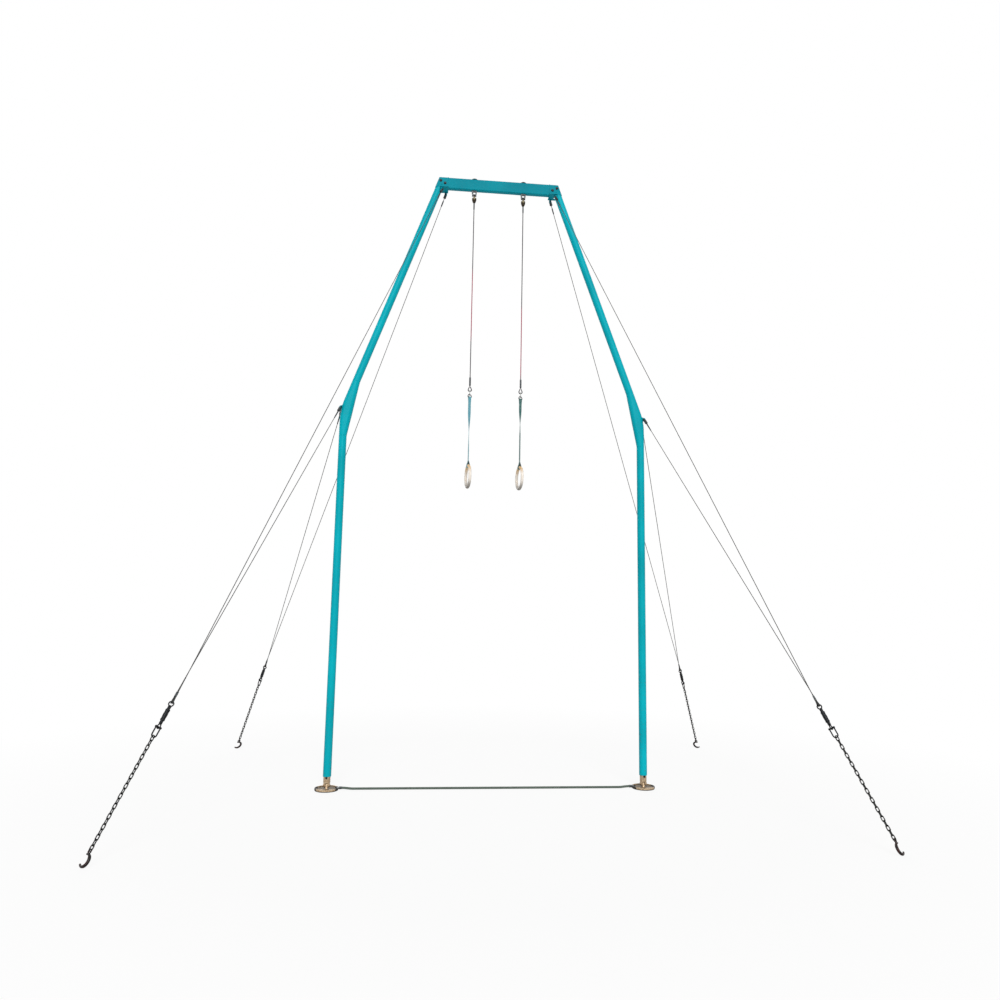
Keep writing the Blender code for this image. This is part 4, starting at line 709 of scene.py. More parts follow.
def knee_shell():
    """Loft of the knee through 26 stations: straight below, bent in the middle, straight above."""
    t = np.linspace(0, 1, 22)[:, None]
    bend_low, bend_high = KNEE - Z * KNEE_BEND, KNEE + SLANT * KNEE_BEND
    bend = bend_low * (1 - t) ** 2 + KNEE * (2 * t * (1 - t)) + bend_high * t ** 2
    turn = unit(Z * (1 - t) + SLANT * t)
    low, high = KNEE - Z * KNEE_BELOW, KNEE + SLANT * KNEE_ABOVE
    ease = 0.0008
    axis = np.concatenate([[low, low + Z * ease], bend, [high - SLANT * ease, high]])
    tangent = np.concatenate([[Z, Z], turn, [SLANT, SLANT]])
    radius = np.full(len(axis), POST_RADIUS)
    radius[[0, -1]] -= ease
    chord = high - low
    reach = np.einsum("ij,ij->i", axis - low, tangent) / (tangent @ chord)
    edge = low + chord * reach[:, None]
    side = np.cross(Y, tangent)
    ring = np.roll(circle(AROUND), AROUND // 4, 0)
    centre = np.where((np.arange(AROUND) < AROUND // 2)[None, :, None], axis[:, None], edge[:, None])
    spokes = ring[None, :, :1] * side[:, None] + ring[None, :, 1:] * Y
    return shell(centre + radius[:, None, None] * spokes)


def upper_hole(end):
    """Hole of the ear under the head that the upper guy hangs in."""
    inset = FRONT_EAR_INSET if end < 0 else REAR_EAR_INSET
    return np.array([on_slant(BEAM_BOTTOM)[0] - inset, math.copysign(EAR_Y, end), BEAM_BOTTOM - EAR_DROP])


Corner = namedtuple("Corner", "where end junction anchor knee_hole down across")


def corner(where, end):
    """One corner's guys: their junction, the floor point that the chain aims at, and the knee's hole.

    Down is the chain's direction, and across is square to the plane of both ropes.
    """
    anchor = np.array([ANCHOR_X, end * ANCHOR_Y, 0])
    knee = np.array([POST_X, 0, LUG_HEIGHT])
    aim = knee + (upper_hole(end) - knee) * CHAIN_AIM
    junction = anchor + unit(aim - anchor) * JUNCTION_REACH
    hole = knee + unit(np.array([junction[0] - POST_X, junction[1], 0])) * LUG_REACH
    across = unit(np.cross(upper_hole(end) - anchor, hole - anchor))
    return Corner(where, end, junction, anchor, hole, unit(anchor - junction), across)


def knee_lug(hole):
    """Lug with a round nose about its hole, and the weld along its root on both faces."""
    run = unit(np.array([hole[0] - POST_X, hole[1], 0]))
    root = POST_BORE - LUG_ROOT - LUG_REACH
    outline = np.concatenate([[(root, 2 * LUG_RADIUS), (root, -2 * LUG_RADIUS)],
                              arc(LUG_RADIUS, -90, 90, 14)])
    face = np.cross(run, Z)
    seams = [hole + run * (POST_RADIUS - LUG_REACH + 0.0004) + face * s * (LUG_THICKNESS / 2 + 0.0006)
             for s in (-1, 1)]
    return [plate(outline, LUG_THICKNESS, hole, run, Z),
            *(weld(p + Z * 0.019, p - Z * 0.019, 0.0022, face) for p in seams)]


CORNERS = [corner("front", -1), corner("rear", 1)]
knee_parts = [knee_shell()] + [part for at in CORNERS for part in knee_lug(at.knee_hole)]
knees = list(both_sides("bent_knee_*", knee_parts, TEAL, replaces=["knee_*"]))
print("knees:", len(knees))
for at in CORNERS:
    print(at.where, "junction", np.round(at.junction, 4), "knee hole", np.round(at.knee_hole, 4))

# %% [markdown]
# ## Heads
# Each corner box is bolted up with four hexagon bolts, two from the front and two from the rear, with
# washers under their heads.

# %% Head bolts
def hex_bolt(place, out, across=0.019, height=0.008):
    """Washer, and hexagon head with its corners chamfered by a cone."""
    r = across / math.sqrt(3)
    head = turned([(0.0022, r * 0.96), (0.0032, r), (height, r), (height + 0.0018, r * 0.88)],
                  place, out, 6)
    return [turned(stepped((0, 0.0022), [0.0145], 0.0004), place, out, 32), head]


BOLT_PLACES = ((0.594, 5.910), (0.549, 5.885))
FACE_Y = 0.026
bolts = [part for x, z in BOLT_PLACES for way in (-1, 1)
         for part in hex_bolt(np.array([x, way * FACE_Y, z]), np.array([0, way, 0]))]
head_bolts = list(both_sides("head_bolts_*", bolts, BLACKENED))
print("bolt groups:", len(head_bolts), "bolts in each:", 2 * len(BOLT_PLACES))

# %% [markdown]
# ## Feet
# A bare tube with a fork stands in each lower post. A pin through it carries the post, so the height of
# the frame can be set. The fork turns on a pin in the lug of a dished foot plate, which has a rubber pad.
# The dish is a turned shape. The floor tie crosses its rim in a notch, where the height of each point is
# the smaller of its own and the plate's top.

# %% Leg spigots and height pins
FOOT_PIN_Z, FOOT_PIN, LUG_WIDE = 0.045, 0.007, 0.018
CHEEK_OUT, CHEEK_IN, FORK_HALF = 0.025, 0.010, 0.022
SHOULDER, SPIGOT_TOP, SPIGOT_RADIUS = 0.062, 0.414, 0.031
HEIGHT_PIN_Z, PIN_HALF, PIN_RADIUS, CLIP_RADIUS = 0.112, 0.046, 0.0058, 0.0085
foot_centre = np.array([POST_X, 0, 0])

spigot_wall = eased([(SPIGOT_TOP, 0.0262), (SPIGOT_TOP, SPIGOT_RADIUS), (SHOULDER, SPIGOT_RADIUS),
                     (SHOULDER, 0.012), (SHOULDER + CORE, CORE)], 0.0012)
cheek = np.concatenate([arc(FORK_HALF, 180, 360, 24), [(FORK_HALF, 0.0195), (-FORK_HALF, 0.0195)]])
pin_middle = foot_centre + Z * FOOT_PIN_Z
spigot = [turned(spigot_wall, foot_centre, Z, AROUND)]
spigot += [plate(cheek, CHEEK_OUT - CHEEK_IN, pin_middle + X * s * (CHEEK_OUT + CHEEK_IN) / 2, Y, Z, 0.0012)
           for s in (-1, 1)]
spigots = list(both_sides("bare_spigot_*", spigot, YELLOW_ZINC, replaces=["leg_spigot_*"]))
ring_clip = lifted(arc(CLIP_RADIUS, 0, 360, 28)[:-1], foot_centre + Z * (HEIGHT_PIN_Z - 0.0065)
                   + Y * (PIN_HALF - 0.005), X, Z)
height_pin = [turned(stepped((-PIN_HALF, PIN_HALF - 0.0085, PIN_HALF), (PIN_RADIUS, 0.0096), 0.0012),
                     foot_centre + Z * HEIGHT_PIN_Z, -Y, 40),
              rod(ring_clip, 0.0009, Y, closed=True, sides=8)]
pins = list(both_sides("height_pin_turned_*", height_pin, BLACKENED, replaces=["height_pin_*"]))
print("spigots and pins:", len(spigots) + len(pins))


# %% Foot plates and pads
FOOT_RADIUS, RIM_WIDTH, RIM_RISE = 0.106, 0.010, 0.006
PLATE_LOW, PLATE_TOP = 0.0063, 0.0143
TIE_TAB_WIDE, NOTCH_GAP = 0.026, 0.003


def dished_plate():
    """Turned dish: (radius, height) profile, with the rim cut down in the notch for the tie.

    The extra numbers are painted shade: brown over the dish but along its front, where the rear of the dish
    lies in shadow, and dark grey at the left and right ends of the plate.
    """
    r, inner, rim = FOOT_RADIUS, FOOT_RADIUS - RIM_WIDTH, PLATE_TOP + RIM_RISE
    profile = np.array([(CORE, PLATE_LOW), (r - 0.001, PLATE_LOW), (r, PLATE_LOW + 0.001), (r, PLATE_TOP),
                        (r - 0.0004, rim - 0.0008), (r - 0.0016, rim), (inner + 0.0016, rim),
                        (inner + 0.0004, rim - 0.0008), (inner - 0.0006, PLATE_TOP + 0.0006),
                        (inner - 0.003, PLATE_TOP),
                        *((flat, PLATE_TOP) for flat in np.linspace(inner - 0.008, CORE, 16))])
    ring = circle(240)
    grid = np.concatenate([profile[:, None, :1] * ring[None], np.broadcast_to(
        profile[:, None, 1:], (len(profile), len(ring), 1))], -1)
    x, y, z = np.moveaxis(grid, -1, 0)
    in_notch = (np.abs(y) < TIE_TAB_WIDE / 2 + NOTCH_GAP) & (x < 0)
    z[...] = np.where(in_notch, np.minimum(z, PLATE_TOP), z)
    painted_shade = np.zeros_like(grid)
    within = np.clip((inner + 0.002 - np.hypot(x, y)) / 0.006, 0, 1) * (z > PLATE_LOW + 0.002)
    # Painted shade: brown over the dish but along its front, and dark grey at the plate's left and right
    # ends.
    painted_shade[..., 0] = np.clip((y + 0.050) / 0.025, 0, 1) * within * 0.9
    painted_shade[..., 1] = np.clip((np.abs(x) - 0.082) / 0.004, 0, 1) * 0.95
    return shell(grid + foot_centre, extra=painted_shade)


BOLT_X, TAB_TOP = POST_X - 0.082, 0.0229
LUG_FOOT, LUG_HALF, HINGE_HEAD = 0.0105 - FOOT_PIN_Z, 0.0224, 0.0112
foot_lug = np.concatenate([[(-LUG_HALF, LUG_FOOT), (LUG_HALF, LUG_FOOT)], arc(0.014, 0, 180, 20)])
hinge = stepped((-0.031, -0.026, 0.026, 0.031), (HINGE_HEAD, FOOT_PIN, HINGE_HEAD), 0.0008)
foot_seams = [foot_centre + X * s * 0.0095 + Z * 0.0150 for s in (-1, 1)]
foot_parts = [dished_plate(), plate(foot_lug, LUG_WIDE, pin_middle, Y, Z, 0.0010),
              turned(hinge, pin_middle, X, 40),
              *(weld(p + Y * 0.021, p - Y * 0.021, 0.0022, X) for p in foot_seams)]
feet = list(both_sides("dished_foot_*", foot_parts, YELLOW_ZINC, "feet", ["foot_plate_*"]))
bolt_base = np.array([BOLT_X, 0, TAB_TOP])
tie_bolt = [turned(stepped((0, 0.0012), [0.0096], 0.0003), bolt_base, Z, 32),
            turned([(0.0012, 0.0088), (0.0016, 0.0092), (0.0052, 0.0092), (0.0060, 0.0080)],
                   bolt_base, Z, 6)]
tie_bolts = list(both_sides("tie_bolt_*", tie_bolt, BLACKENED, "feet"))
pad = [turned(eased([(0, CORE), (0, 0.104), (0.0022, 0.104), (0.0030, 0.1032), (0.0038, 0.104),
                     (0.006, 0.104), (0.006, CORE)], 0.0006), foot_centre, Z, 96)]
pads = list(both_sides("moulded_pad_*", pad, RUBBER, "feet", ["foot_pad_*"]))
print("foot pieces:", len(feet) + len(tie_bolts) + len(pads))

# %% [markdown]
# ## Floor tie
# A rope between the feet keeps the posts from spreading. It lies on the floor, rises at each end into a
# pressed ferrule, and ends in an eye tab under a bolt. It is one laid rope, so it is one sweep.

# %% Floor tie
TIE_RADIUS, TAB_Z, TIE_RISE, EYE_TAB = 0.010, 0.0186, 0.1, 0.013
LYING = TIE_RADIUS + 0.001
tie_end = POST_X - FOOT_RADIUS - GAP
ferrule_start = tie_end - 0.030
ease_t = np.linspace(0, 1, 16)[1:-1]
rise = ease_t * ease_t * (3 - 2 * ease_t)
half_x = np.concatenate([np.linspace(0, ferrule_start - TIE_RISE, 60),
                         ferrule_start - TIE_RISE + TIE_RISE * ease_t, [ferrule_start, tie_end - 0.002]])
half_z = np.concatenate([np.full(60, LYING), LYING + (TAB_Z - LYING) * rise, [TAB_Z, TAB_Z]])
half = np.stack([half_x, 0 * half_x, half_z], -1)
tie_path = np.concatenate([(half * (-1, 1, 1))[:0:-1], half])
tie = piece("laid_floor_rope", [rod(tie_path, TIE_RADIUS, Y, sides=20)], TIE_ROPE, "feet", ["floor_tie"])
tab_root = tie_end - BOLT_X - 0.004
tab = np.concatenate([[(tab_root, EYE_TAB)], arc(EYE_TAB, 90, 270, 20), [(tab_root, -EYE_TAB)]]) * (-1, 1)
tie_ends = [plate(tab, 0.008, np.array([BOLT_X, 0, TAB_Z]), -X, Y, 0.0012),
            turned(eased([(0, 0.0102), (0.003, 0.012), (0.012, 0.012), (0.0135, 0.0108), (0.0150, 0.012),
                          (0.0268, 0.012), (0.0290, 0.0102)], 0.0006),
                   np.array([ferrule_start, 0, TAB_Z]), X, 32)]
ferrules = list(both_sides("tie_ferrule_*", tie_ends, SWAGED, "feet", ["floor_tie"]))

# %% [markdown]
# ## Guys
# At each corner two wire ropes, one from the head and one from the knee, meet at the eye of a turnbuckle.
# A fork with a pin holds each rope at the top. At the bottom the rope runs round a thimble, a grooved
# metal tear drop that keeps it from kinking, and back into a pressed ferrule. The two loops lie side by
# side across the eye. The ropes are straight because they are tight.

# %% Guys
GUY_RADIUS = 0.003
THIMBLE_BORE, THIMBLE_ROD, THIMBLE_HEIGHT, FERRULE = 0.007, 0.008, 0.036, 0.040
EYE_ROD, EYE_BORE, EYE_FALL, SEAT = 0.009, 0.024, 0.003, 0.001
PIN_GAP = 0.0005
CHEEK_IN_FORK, FORK_OUT, FORK_WIDE, FORK_CUT = 0.005, 0.010, 0.010, 0.003


def guy_frame(start, at, offset):
    """Where a rope's bottom loop is centred, its direction and length, and two directions square to it."""
    middle = at.junction + at.across * offset - at.down * (THIMBLE_BORE - EYE_ROD / 2 - SEAT - EYE_FALL)
    length = float(np.linalg.norm(middle - start))
    direction = (middle - start) / length
    run = unit(np.array([*(at.junction - start)[:2], 0]))
    second = unit(np.cross(direction, np.cross(run, Z)))
    return middle, direction, length, np.cross(second, direction), second


def fork_end(start, direction, pin, second, fork_length, shank):
    """Fork of a rope: two round-nosed cheeks, the block that joins them, a headed pin and a shank."""
    wide, back = FORK_WIDE, fork_length - FORK_CUT
    nose = arc(wide, 100, 260, 14)
    nose[:, 0] = np.minimum(nose[:, 0], 0.004)
    nose = np.concatenate([nose, [(back, -wide), (fork_length, FORK_CUT - wide),
                                  (fork_length, wide - FORK_CUT), (back, wide)]])
    bridge = np.array([(0.0165, -1), (0.0165, 1), (fork_length - 0.0004, 1), (fork_length - 0.0004, -1)])
    neck = [(fork_length - 0.001, CORE), (fork_length - 0.001, shank[0][1])]
    ends = [(fork_length + z, r) for z, r in (*shank, (shank[-1][0], 0.0031))]
    return [*(plate(nose, FORK_OUT - CHEEK_IN_FORK, start + pin * s * (FORK_OUT + CHEEK_IN_FORK) / 2,
                    direction, second, 0.0010) for s in (-1, 1)),
            plate(bridge * (1, wide - 0.0012), 2 * CHEEK_IN_FORK + 0.001, start, direction, second, 0.0003),
            turned(stepped((-0.012, 0.0102, 0.012), (0.005, 0.0070)), start, pin, 24),
            turned(eased(neck + ends, 0.0008), start, direction, 28)]


def loop_end(middle, direction, across):
    """Thimble, rope round it and ferrule, with the loop in the plane of the direction and across it."""
    side = unit(np.cross(direction, across))
    flat = teardrop(THIMBLE_BORE + 0.0055, THIMBLE_HEIGHT + FERRULE / 4, 28)
    rope = rod(lifted(flat, middle, side, -direction), GUY_RADIUS - 0.0003, across, closed=True, sides=12)
    lining = teardrop(THIMBLE_BORE + 0.0014, THIMBLE_HEIGHT - 0.002, 28)
    half, thick = 0.0042, 0.0008
    channel = np.array([(0.0016, -half), (thick, -half), (-thick * 0.8, -half * 0.55),
                        (-thick * 0.8, half * 0.55), (thick, half), (0.0016, half),
                        (0.0010, half * 0.5), (0.0010, -half * 0.5)])
    thimble = sweep(lifted(lining, middle, side, -direction), channel[::-1], across, closed=True)
    pressed = [(0, 0.0032), (0.0015, 0.0055), (0.010, 0.0055), (0.0112, 0.0050), (0.0124, 0.0055),
               (0.0275, 0.0055), (0.0287, 0.0050), (0.0299, 0.0055), (0.0385, 0.0055), (0.040, 0.0032)]
    sleeve = turned(eased(pressed, 0.0004), middle - direction * (THIMBLE_HEIGHT + FERRULE), direction,
                    28, side)
    return [rope], [thimble, sleeve]


KNEE_SHANK = [(0.025, 0.0065), (0.095, 0.0050), (0.100, 0.0034)]
HEAD_SHANK = [(0.0005, 0.0034), (0.022, 0.0034), (0.0285, 0.0065), (0.074, 0.0065), (0.087, 0.0034)]
guy_lengths = {}
for at in CORNERS:
    for which, start, offset, fork_length, shank in (("upper", upper_hole(at.end), 1, 0.042, HEAD_SHANK),
                                                     ("lower", at.knee_hole, -1, 0.060, KNEE_SHANK)):
        middle, direction, length, pin, second = guy_frame(start, at, offset * (THIMBLE_ROD / 2 + PIN_GAP))
        steps = np.linspace(fork_length + 0.002, length - THIMBLE_HEIGHT - FERRULE + 0.004, 24)
        path = start + steps[:, None] * direction
        long = float(steps[-1] - steps[0])
        bend, metal = loop_end(middle, direction, at.across)
        metal = fork_end(start, direction, pin, second, fork_length, shank) + metal
        run = rod(path, GUY_RADIUS, second, sides=12)
        made = zip(*(both_sides(f"{which}_guy_{kind}_{at.where}_*", parts, material,
                                replaces=[f"{which}_guy_{at.where}_*"])
                     for kind, parts, material in (("rope", [run], GUY_WIRE), ("bend", bend, GUY_WIRE),
                                                   ("fittings", metal, SWAGED))))
        for side, (rope, *ends) in zip((1, -1), made):
            way = path * (side, 1, 1)
            tuple(way[0])
            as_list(ends)
        guy_lengths[f"{which}_guy_{at.where}"] = round(long, 3)
print("ropes between their fittings, in metres:", guy_lengths)

# %% [markdown]
# ## Turnbuckles
# The barrel is a sleeve with a right-hand thread in one end and a left-hand thread in the other. Turning
# it pulls both eye screws in and tightens the guy. It has three thicker collars, and a hexagon at each
# end to turn it with. The eye screw is a ring of rod on a threaded stem. The thread is cut in the
# profile: a turned shape whose radius goes up and down every 2 mm.

# %% Turnbuckle eyes and barrels
BARREL_LENGTH, BARREL_RADIUS, BARREL_END = 0.118, 0.016, 0.012
EYE_NECK, ENGAGED, SCREW_RADIUS = 0.006, 0.035, 0.008
THREAD_PITCH, THREAD_DEPTH = 0.002, 0.0011
EYE_DEPTH = EYE_BORE + EYE_ROD


def eye_screw(top, down, across):
    """Eye whose top rod's middle is at the top, with its threaded stem running down, and a flared root."""
    radius = EYE_DEPTH / 2
    flat = arc(radius, 90, -270, 48)[:-1]
    eye = rod(lifted(flat, top + down * radius, across, -down), EYE_ROD / 2, np.cross(across, down),
              closed=True, sides=20)
    z = np.arange(0.002, EYE_NECK + ENGAGED, THREAD_PITCH / 2)
    crest = np.where(np.arange(len(z)) % 2 == 0, SCREW_RADIUS - THREAD_DEPTH, SCREW_RADIUS)
    profile = np.concatenate([[(-0.006, 0.0035), (-0.003, 0.0068), (0.0005, SCREW_RADIUS - 0.0008)],
                              np.stack([z, crest], -1), [(EYE_NECK + ENGAGED, CORE)]])
    return [eye, turned(profile, top + down * EYE_DEPTH, down, 32)]


def barrel(top, down):
    """Spindle with hexagon ends and three collars. The profile of one half is mirrored for the other."""
    r, e, n = BARREL_RADIUS, BARREL_END, BARREL_LENGTH
    profile = np.array([(0, SCREW_RADIUS + PIN_GAP), (0, e - 0.0018), (0.0012, e - 0.0004),
                        (0.012, e - 0.0004), (0.0128, e - 0.001), (0.0150, e - 0.001),
                        (n / 6 - 0.0010, r - 0.0014), (n / 6 + 0.001, r), (n / 6 + 0.010, r),
                        (n / 6 + 0.0112, r - 0.0011), (n / 2 - 0.012, r - 0.0011), (n / 2 - 0.0105, r),
                        (n / 2, r)])
    whole = np.concatenate([profile, (profile[:-1] * (-1, 1) + (n, 0))[::-1]])
    body = turned(eased(whole, 0.0005), top, down, 48)
    hexes = (turned([(z, e * 0.8), (z + 0.001, e), (z + 0.010, e), (z + 0.011, e * 0.8)],
                    top, down, 6) for z in (0.0014, n - 0.0124))
    return [body, *hexes]


def lock_nut(place, down, height=0.0048, across=0.024):
    """Hexagon nut with chamfered corners."""
    r = across / math.sqrt(3)
    return turned([(0, SCREW_RADIUS), (0, r * 0.88), (0.0012, r), (height - 0.0012, r), (height, r * 0.88),
                   (height, SCREW_RADIUS)], place, down, 6)


for at in CORNERS:
    top = at.junction + at.down * (EYE_DEPTH + EYE_NECK)
    eyes = [*eye_screw(at.junction, at.down, at.across),
            lock_nut(at.junction + at.down * (EYE_DEPTH + 0.0006), at.down)]
    list(both_sides(f"forged_eye_{at.where}_*", eyes, BLACKENED, replaces=[f"turnbuckle_eye_{at.where}_*"]))
    list(both_sides(f"turned_barrel_{at.where}_*", barrel(top, at.down), BLACKENED, f"barrel_{at.where}_*",
                    [f"turnbuckle_barrel_{at.where}_*"]))
    print(at.where, "turnbuckle top:", np.round(top, 4))

# %% [markdown]
# ## Chains
# Below the turnbuckle a bow shackle takes the first link of an 8 mm chain. Real links alternate by a
# quarter turn, so each is the same closed rod turned about the line of the chain. A link lies in a plane,
# as wide as the chain and one pitch plus one wire long between the middles of its ends, so that
# neighbours just touch. Each has a small swelling where it was welded.

# %% Chains
CHAIN_ROD, CHAIN_PITCH, CHAIN_WIDTH = 0.008, 0.032, 0.027
SHACKLE_ROD, SHACKLE_WIDTH, SHACKLE_LENGTH = 0.010, 0.038, 0.070
SHACKLE_PIN_RADIUS, SHACKLE_PIN_LONG = 0.0065, 0.052
WELD_LAP = 0.0006
HOOK_RADIUS, HOOK_ROD, HOOK_TIP, HOOK_EYE_ROD, HOOK_EYE_BORE = 0.0375, 0.021, 0.012, 0.009, 0.016
HOOK_EYE_REACH = HOOK_RADIUS + HOOK_EYE_BORE / 2 + HOOK_EYE_ROD
HOOK_START, HOOK_END = np.radians((65, 318))


def hook_middle(anchor, down):
    """Middle of a floor hook that touches the floor and lies in line with its chain."""
    return anchor - down * (HOOK_RADIUS - HOOK_ROD / 2 / down[2])


def chain_parts(top, down, level, length):
    """Lower eye screw, shackle with its pin, and the links, from the barrel's end down."""
    second = np.cross(down, level)
    foot = EYE_NECK + EYE_DEPTH
    half, reach = SHACKLE_WIDTH / 2, SHACKLE_PIN_LONG / 2
    pin_z = foot - EYE_ROD / 2 - SHACKLE_ROD / 2 + WELD_LAP
    bow_z = pin_z + SHACKLE_LENGTH - half
    pin = top + down * pin_z
    bow = np.concatenate([[(half, pin_z), (half, pin_z + 0.012)], arc(half, 0, 180, 24, (0, bow_z)),
                          [(-half, pin_z + 0.012), (-half, pin_z)]])
    metal = [*eye_screw(top + down * foot, -down, level), lock_nut(top + down * 0.0006, down),
             rod(lifted(bow, top, second, down), SHACKLE_ROD / 2, level, sides=16),
             *(turned(stepped((-0.0055, 0.0055), [0.0082], 0.0012), pin + second * s * half, second, 24)
               for s in (-1, 1)),
             turned(stepped((-reach, reach), [SHACKLE_PIN_RADIUS], 0.0008), pin, second, 24)]
    start = bow_z + half - SHACKLE_ROD / 2 - CHAIN_ROD / 2 + WELD_LAP
    count = max(3, round((length - start) / CHAIN_PITCH))
    pitch = (length - start) / count
    bend = (CHAIN_WIDTH - CHAIN_ROD) / 2
    flat = stadium(bend, CHAIN_PITCH + CHAIN_ROD, 9)
    links = []
    for k in range(count):
        centre = top + down * (start + (k + 0.5) * pitch)
        side = second if (count - 1 - k) % 2 == 0 else level
        links += [rod(lifted(flat, centre, side, down), CHAIN_ROD / 2 - 0.0001, np.cross(side, down),
                      closed=True, sides=10),
                  turned([(-0.0024, 0.0038), (-0.0012, 0.0044), (0.0012, 0.0044), (0.0024, 0.0038)],
                         centre + side * bend, down, 12)]
    return metal, links, count


for at in CORNERS:
    barrel_foot = at.junction + at.down * (EYE_DEPTH + EYE_NECK + BARREL_LENGTH)
    eye_place = hook_middle(at.anchor, at.down) - at.down * HOOK_EYE_REACH
    reach = float(np.linalg.norm(at.junction - eye_place) - HOOK_EYE_BORE / 2 + CHAIN_ROD / 2 + PIN_GAP
                  - EYE_DEPTH - EYE_NECK - BARREL_LENGTH)
    metal, links, count = chain_parts(barrel_foot, at.down, unit(np.cross(at.down, Z)), reach)
    for name, parts, material in (("lower_eye", metal, BLACKENED), ("welded_chain", links, CHAIN_STEEL)):
        list(both_sides(f"{name}_{at.where}_*", parts, material, replaces=[f"guy_chain_{at.where}_*"]))
    print(at.where, "chain:", count, "links,", round(reach, 3), "m below the barrel")

# %% [markdown]
# ## Floor hooks
# Each chain ends in an open hook that goes under a ring in the floor. The hook is forged from 21 mm bar:
# an arc of 253 degrees, drawn thinner towards its tip and its neck, with an eye for the last link. The
# radius along the bar is the smaller of the full one and one that grows from the end. The last few
# millimetres are rounded: with s the distance from the end over the end's radius, the radius is
# multiplied by sqrt(1 - (1 - s)^2). The stations lie close together there, by a cosine.

# %% Floor hooks
def floor_hook(anchor, down):
    """Bow of the hook about its middle, and the eye above it."""
    level = unit(np.cross(down, Z))
    outward = math.copysign(1, level[0]) * level
    middle = hook_middle(anchor, down)
    t = (1 - np.cos(np.linspace(0, math.pi, 90))) / 2
    turn = HOOK_START + t * (HOOK_END - HOOK_START)
    flat = HOOK_RADIUS * np.stack([np.cos(turn), np.sin(turn)], -1)
    full, tip = HOOK_ROD / 2 - 0.0002, HOOK_TIP / 2 - 0.0002
    from_end = np.minimum(t, 1 - t)
    s = np.clip(from_end * HOOK_RADIUS * (HOOK_END - HOOK_START) / tip, 0, 1)
    radius = np.minimum(full, tip + (full - tip) * 3 * from_end)
    radius *= np.sqrt(np.clip(1 - (1 - s) ** 2, 0.004, 1))
    normal = np.cross(outward, -down)
    ring = arc((HOOK_EYE_BORE + HOOK_EYE_ROD) / 2, 90, -270, 40, (0, HOOK_EYE_REACH))[:-1]
    return [rod(lifted(flat, middle, outward, -down), radius, normal, sides=20),
            rod(lifted(ring, middle, outward, -down), HOOK_EYE_ROD / 2, normal, closed=True, sides=16)]


for at in CORNERS:
    list(both_sides(f"forged_hook_{at.where}_*", floor_hook(at.anchor, at.down), LACQUER,
                    replaces=[f"floor_hook_{at.where}_*"]))
    print(at.where, "hook middle:", np.round(hook_middle(at.anchor, at.down), 4))

# %% [markdown]
# ## Yokes and swivels
# A forked yoke hangs under the beam on a stud with a domed nut. A block swings on its pin, and a bell
# hangs from the block on a second pin, square to the first, so the rope can swing every way. The rope's
# stem has a head inside the bell and turns there freely. The bell is a turned casting with a brass band.

# %% Yokes
YOKE_PIN_Z, CROSS_PIN_Z, BELL_TOP = 5.787, 5.766, 5.754
RING_X = 0.25
SIDES = (("right", RING_X), ("left", -RING_X))


def yoke_parts(x):
    """Fork whose legs taper, its headed pin, and the washer, domed nut and end of its stud on the beam."""
    origin, place = np.array([x, 0, YOKE_PIN_Z]), np.array([x, 0, BEAM_TOP + GAP])
    top, plate_low, low = 0.0447, 0.0347, -0.011
    wide, foot, gap, depth = 0.026, 0.021, 0.011, 0.024
    leg = np.array([(gap, plate_low + 0.001), (gap, low), (foot, low), (wide, plate_low + 0.001)])
    back = np.array([(-wide, top), (-wide, plate_low), (wide, plate_low), (wide, top)])
    dome = arc(0.0118, 2, 84, 14) * (1, 0.0082 / 0.0118) + (0, 0.0126)
    return [*(plate(outline, depth, origin, X, Z, 0.0012) for outline in (leg * (-1, 1), leg, back)),
            turned(stepped((-0.022, -0.0205, 0.022), (0.0078, 0.005)), origin, X, 28),
            turned(eased([(0, 0.0085), (0, 0.030), (0.005, 0.030), (0.005, 0.0085)], 0.0010), place, Z, 56),
            turned([(0.005, 0.0128), (0.0060, 0.0138), (0.0118, 0.0138), (0.0128, 0.0124)], place, Z, 6),
            turned(dome[:, ::-1], place, Z, 40), turned([(-0.124, 0.0078), (0.002, 0.0078)], place, Z, 24)]


for side, x in SIDES:
    piece(f"forked_yoke_{side}", yoke_parts(x), GALVANISED, "frame", [f"ring_yoke_{side}"])


# %% Bells
BELL_WIDE, BELL_MOUTH, BELL_HIGH, BELL_SHOULDER = 0.0225, 0.011, 0.051, 0.018


def bell_parts(x):
    """Body, ears and pin of a bell; and its band, a slightly proud ring round the top."""
    origin, pin = np.array([x, 0, BELL_TOP]), np.array([x, 0, CROSS_PIN_Z])
    wide, under = BELL_WIDE, BELL_WIDE - 0.0012
    curve = np.linspace(0, 1, 16)
    fall = np.stack([-BELL_HIGH + (BELL_HIGH - BELL_SHOULDER) * curve,
                     BELL_MOUTH + (under - BELL_MOUTH) * np.sin(curve * math.pi / 2)], -1)
    wall = np.concatenate([[(-BELL_HIGH, 0.0075)], fall, [(-0.002, under), (0, wide - 0.004), (0, CORE)]])
    ear = np.concatenate([arc(0.008, 0, 180, 20), [(-0.008, -0.0145), (0.008, -0.0145)]])
    band = np.array([(-0.0178, -0.0016), (-0.0178, 0), (-0.0128, 0), (-0.0120, -0.0007), (-0.0085, -0.0007),
                     (-0.0077, 0), (-0.0026, 0), (-0.0026, -0.0016)]) + (0, wide)
    casting = [turned(wall, origin, Z, 56),
               *(plate(ear, 0.005, pin + Y * s * 0.0105, X, Z, 0.0008) for s in (-1, 1)),
               turned(stepped((-0.014, 0.014), [0.004]), pin, Y, 24)]
    return casting, [turned(eased(band, 0.0003), origin, Z, 56)]


